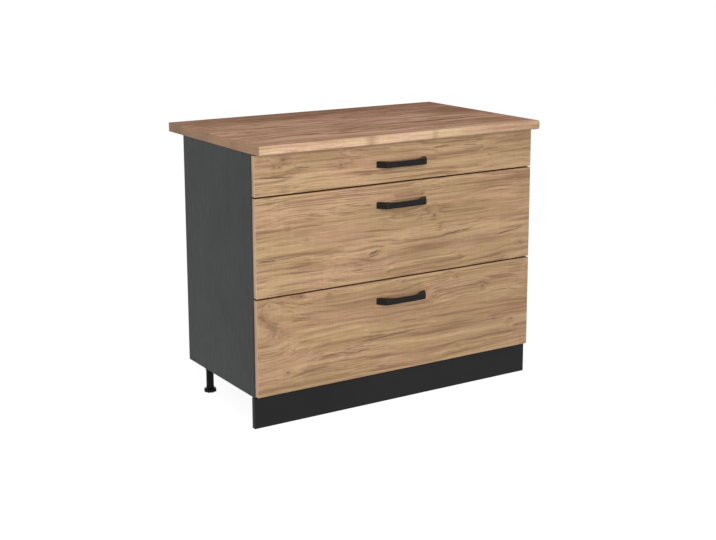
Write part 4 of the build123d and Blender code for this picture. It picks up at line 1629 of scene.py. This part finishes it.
@dataclass
class DrawerPart:
    """One drawer: its front, handle, box, fixings and slides."""

    name: str
    front_radius: float = 1.2 * MM
    box_radius: float = 0.6 * MM
    sheet_radius: float = 0.3 * MM
    first_fixing: float = 55.0 * MM
    fixing_pitch: float = 100.0 * MM
    cam_setback: float = 34.0 * MM
    handle_hole_half: float = 80.0 * MM

    def front(self) -> None:
        """The front: oak faces, pale edging at the sides, and painted gap shade above and below."""
        node = f"{self.name}_drawer_front"
        faces = Coat(0, (Facing.FRONT, Facing.REAR), limit=0.9)
        # painted shade of the gaps on the top and bottom edges
        gap_shade_edges = Coat(2, (Facing.UP, Facing.DOWN), limit=0.6)
        shell = node_board(node, self.front_radius, steps=3).painted(faces, gap_shade_edges, other=1)
        finishes = (FRONT_OAKS[self.name], FRONT_EDGING, FRONT_GAP_SHADE_EDGING)
        make_piece(f"{node}_board", shell, "oak_front", node, *finishes)

    def box(self) -> None:
        """Sides, back and bottom: pale boards, raw behind and below, hardboard underneath."""
        for part in ("side_left", "side_right", "back"):
            node = f"{self.name}_drawer_{part}"
            raw = (Facing.DOWN,) if part == "back" else (Facing.DOWN, Facing.REAR)
            shell = node_board(node, self.box_radius).painted(Coat(1, raw))
            make_piece(f"{node}_board", shell, "box_board", node, BOX_BOARD, CHIPBOARD)
        node = f"{self.name}_drawer_bottom"
        shell = node_board(node, self.sheet_radius, steps=1).painted(Coat(1, (Facing.DOWN,)))
        make_piece(f"{node}_sheet", shell, "box_bottom_board", node, BOX_BOTTOM, HARDBOARD)

    def fixings(self) -> None:
        """Cams inside, corner and channel screws outside, on both sides of the box."""
        low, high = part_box(f"{self.name}_drawer_side_left")
        channels = f"{self.name}_slide_drawer_channels"
        shells = []
        z = low.z + self.first_fixing
        while z < high.z - 2 * CAM.head_radius:
            shells.append(CAM.at((high.x, low.y + self.cam_setback, z), Along.X))
            shells.append(CORNER_SCREW.at((low.x, high.y - HALF_BOARD, z), Along.X, True))
            z += self.fixing_pitch
        x, y, z = low.x - CHANNEL_SHEET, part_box(channels)[0].y, box_middle(channels).z
        for row in CHANNEL_SCREW_ROWS:
            shells.append(CHANNEL_SCREW.at((x, y + row, z), Along.X, True))
        node = f"{self.name}_drawer_fixings"
        make_piece(f"{node}_heads", both_sides(shells), "screw_steel", node, SCREW_STEEL)

    def handle_screws(self) -> None:
        """Two machine screws whose heads stand on the front's inner face."""
        node = f"{self.name}_drawer_handle_screws"
        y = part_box(node)[1].y - HANDLE_SCREW.head_height
        seat = (-self.handle_hole_half, y, box_middle(node).z)
        shell = both_sides([HANDLE_SCREW.at(seat, Along.Y)])
        make_piece(f"{node}_heads", shell, "screw_steel", node, SCREW_STEEL)

    def build(self) -> None:
        """Builds every piece of the drawer."""
        self.front()
        BowHandle(self.name).build()
        self.box()
        self.fixings()
        self.handle_screws()
        Slides(self.name).build()


# ---------------------------------------------------------------- studio
@dataclass
class Studio:
    """Camera, pale floor, one broad lamp from the front left and an even sky."""

    frame_width: float = 716.0
    focal_pixels: float = 1315.52
    sensor_width: float = 36.0
    shift_y: float = -0.09
    position: tuple[float, float, float] = (-2.18516, -3.47356, 1.38843)
    yaw: float = 32.3052
    pitch: float = 11.2882
    roll: float = -0.1431
    lamp_place: tuple[float, float, float] = (-2.1, -5.4, 2.1)
    lamp_aim: tuple[float, float, float] = (0.0, 0.0, 0.5)
    lamp_size: float = 4.0
    lamp_power: float = 300.0
    sky: float = 0.42
    floor_half: float = 45.0
    floor_colour: Colour = (0.2, 0.2, 0.2)
    floor_glow: float = 0.92
    white: Colour = (1.0, 1.0, 1.0)

    def camera(self) -> None:
        """A camera rolled about its own axis, tilted down from the level and turned by its yaw."""
        data = bpy.data.cameras.new("camera")
        data.sensor_fit = "HORIZONTAL"
        data.sensor_width = self.sensor_width
        data.lens = self.focal_pixels * self.sensor_width / self.frame_width
        data.shift_y = self.shift_y
        data.clip_end = 4 * self.floor_half
        yaw, pitch, roll = (math.radians(a) for a in (self.yaw, self.pitch, self.roll))
        tilted = Matrix.Rotation(math.pi / 2 - pitch, 4, "X") @ Matrix.Rotation(roll, 4, "Z")
        camera = linked("camera", data)
        turned = Matrix.Rotation(-yaw, 4, "Z") @ tilted
        camera.matrix_world = Matrix.Translation(self.position) @ turned
        bpy.context.scene.camera = camera

    def lights(self) -> None:
        """A broad lamp, and a sky that is white to the camera and in reflections."""
        data = bpy.data.lights.new("lamp", "AREA")
        data.shape = "DISK"
        data.size = self.lamp_size
        data.energy = self.lamp_power
        lamp = linked("lamp", data)
        away = Vector(self.lamp_place) - Vector(self.lamp_aim)
        lamp.location = self.lamp_place
        lamp.rotation_euler = away.to_track_quat("Z", "Y").to_euler()
        world = bpy.data.worlds.new("studio")
        world.use_nodes = True
        tree = Tree(world.node_tree)
        strength = tree.node("ShaderNodeMapRange")
        tree.feed(strength.inputs["To Min"], self.sky)
        tree.feed(strength.inputs["Value"], tree.seen_directly())
        back = world.node_tree.nodes["Background"]
        tree.feed(back.inputs["Strength"], strength.outputs[0])
        tree.feed(back.inputs["Color"], self.white)
        bpy.context.scene.world = world

    def floor(self) -> None:
        """A wide floor, nearly white to the camera and in reflections, with a faint shadow."""
        half = self.floor_half
        mesh = bpy.data.meshes.new("floor")
        corners = [(-half, -half, 0), (half, -half, 0), (half, half, 0), (-half, half, 0)]
        mesh.from_pydata(corners, [], [[0, 1, 2, 3]])
        material = bpy.data.materials.new("studio_floor")
        material.use_nodes = True
        tree = Tree(material.node_tree)
        inputs = material.node_tree.nodes["Principled BSDF"].inputs
        tree.feed(inputs["Roughness"], 1.0)
        tree.feed(inputs["Specular IOR Level"], 0.0)
        tree.feed(inputs["Base Color"], self.floor_colour)
        tree.feed(inputs["Emission Color"], self.white)
        glow = tree.math("MULTIPLY", tree.seen_directly(), self.floor_glow)
        tree.feed(inputs["Emission Strength"], glow)
        mesh.materials.append(material)
        linked("floor", mesh)

    def build(self) -> None:
        """Sets the stage."""
        self.camera()
        self.lights()
        self.floor()
        bpy.context.scene.view_settings.view_transform = "Standard"


def main() -> None:
    """Builds the studio and every sub-assembly in order."""
    logging.basicConfig(level=logging.INFO, format="%(name)s: %(message)s")
    Studio().build()
    Carcass().build()
    Base().build()
    for name in DRAWERS:
        DrawerPart(name).build()


if __name__ == "__main__":
    main()
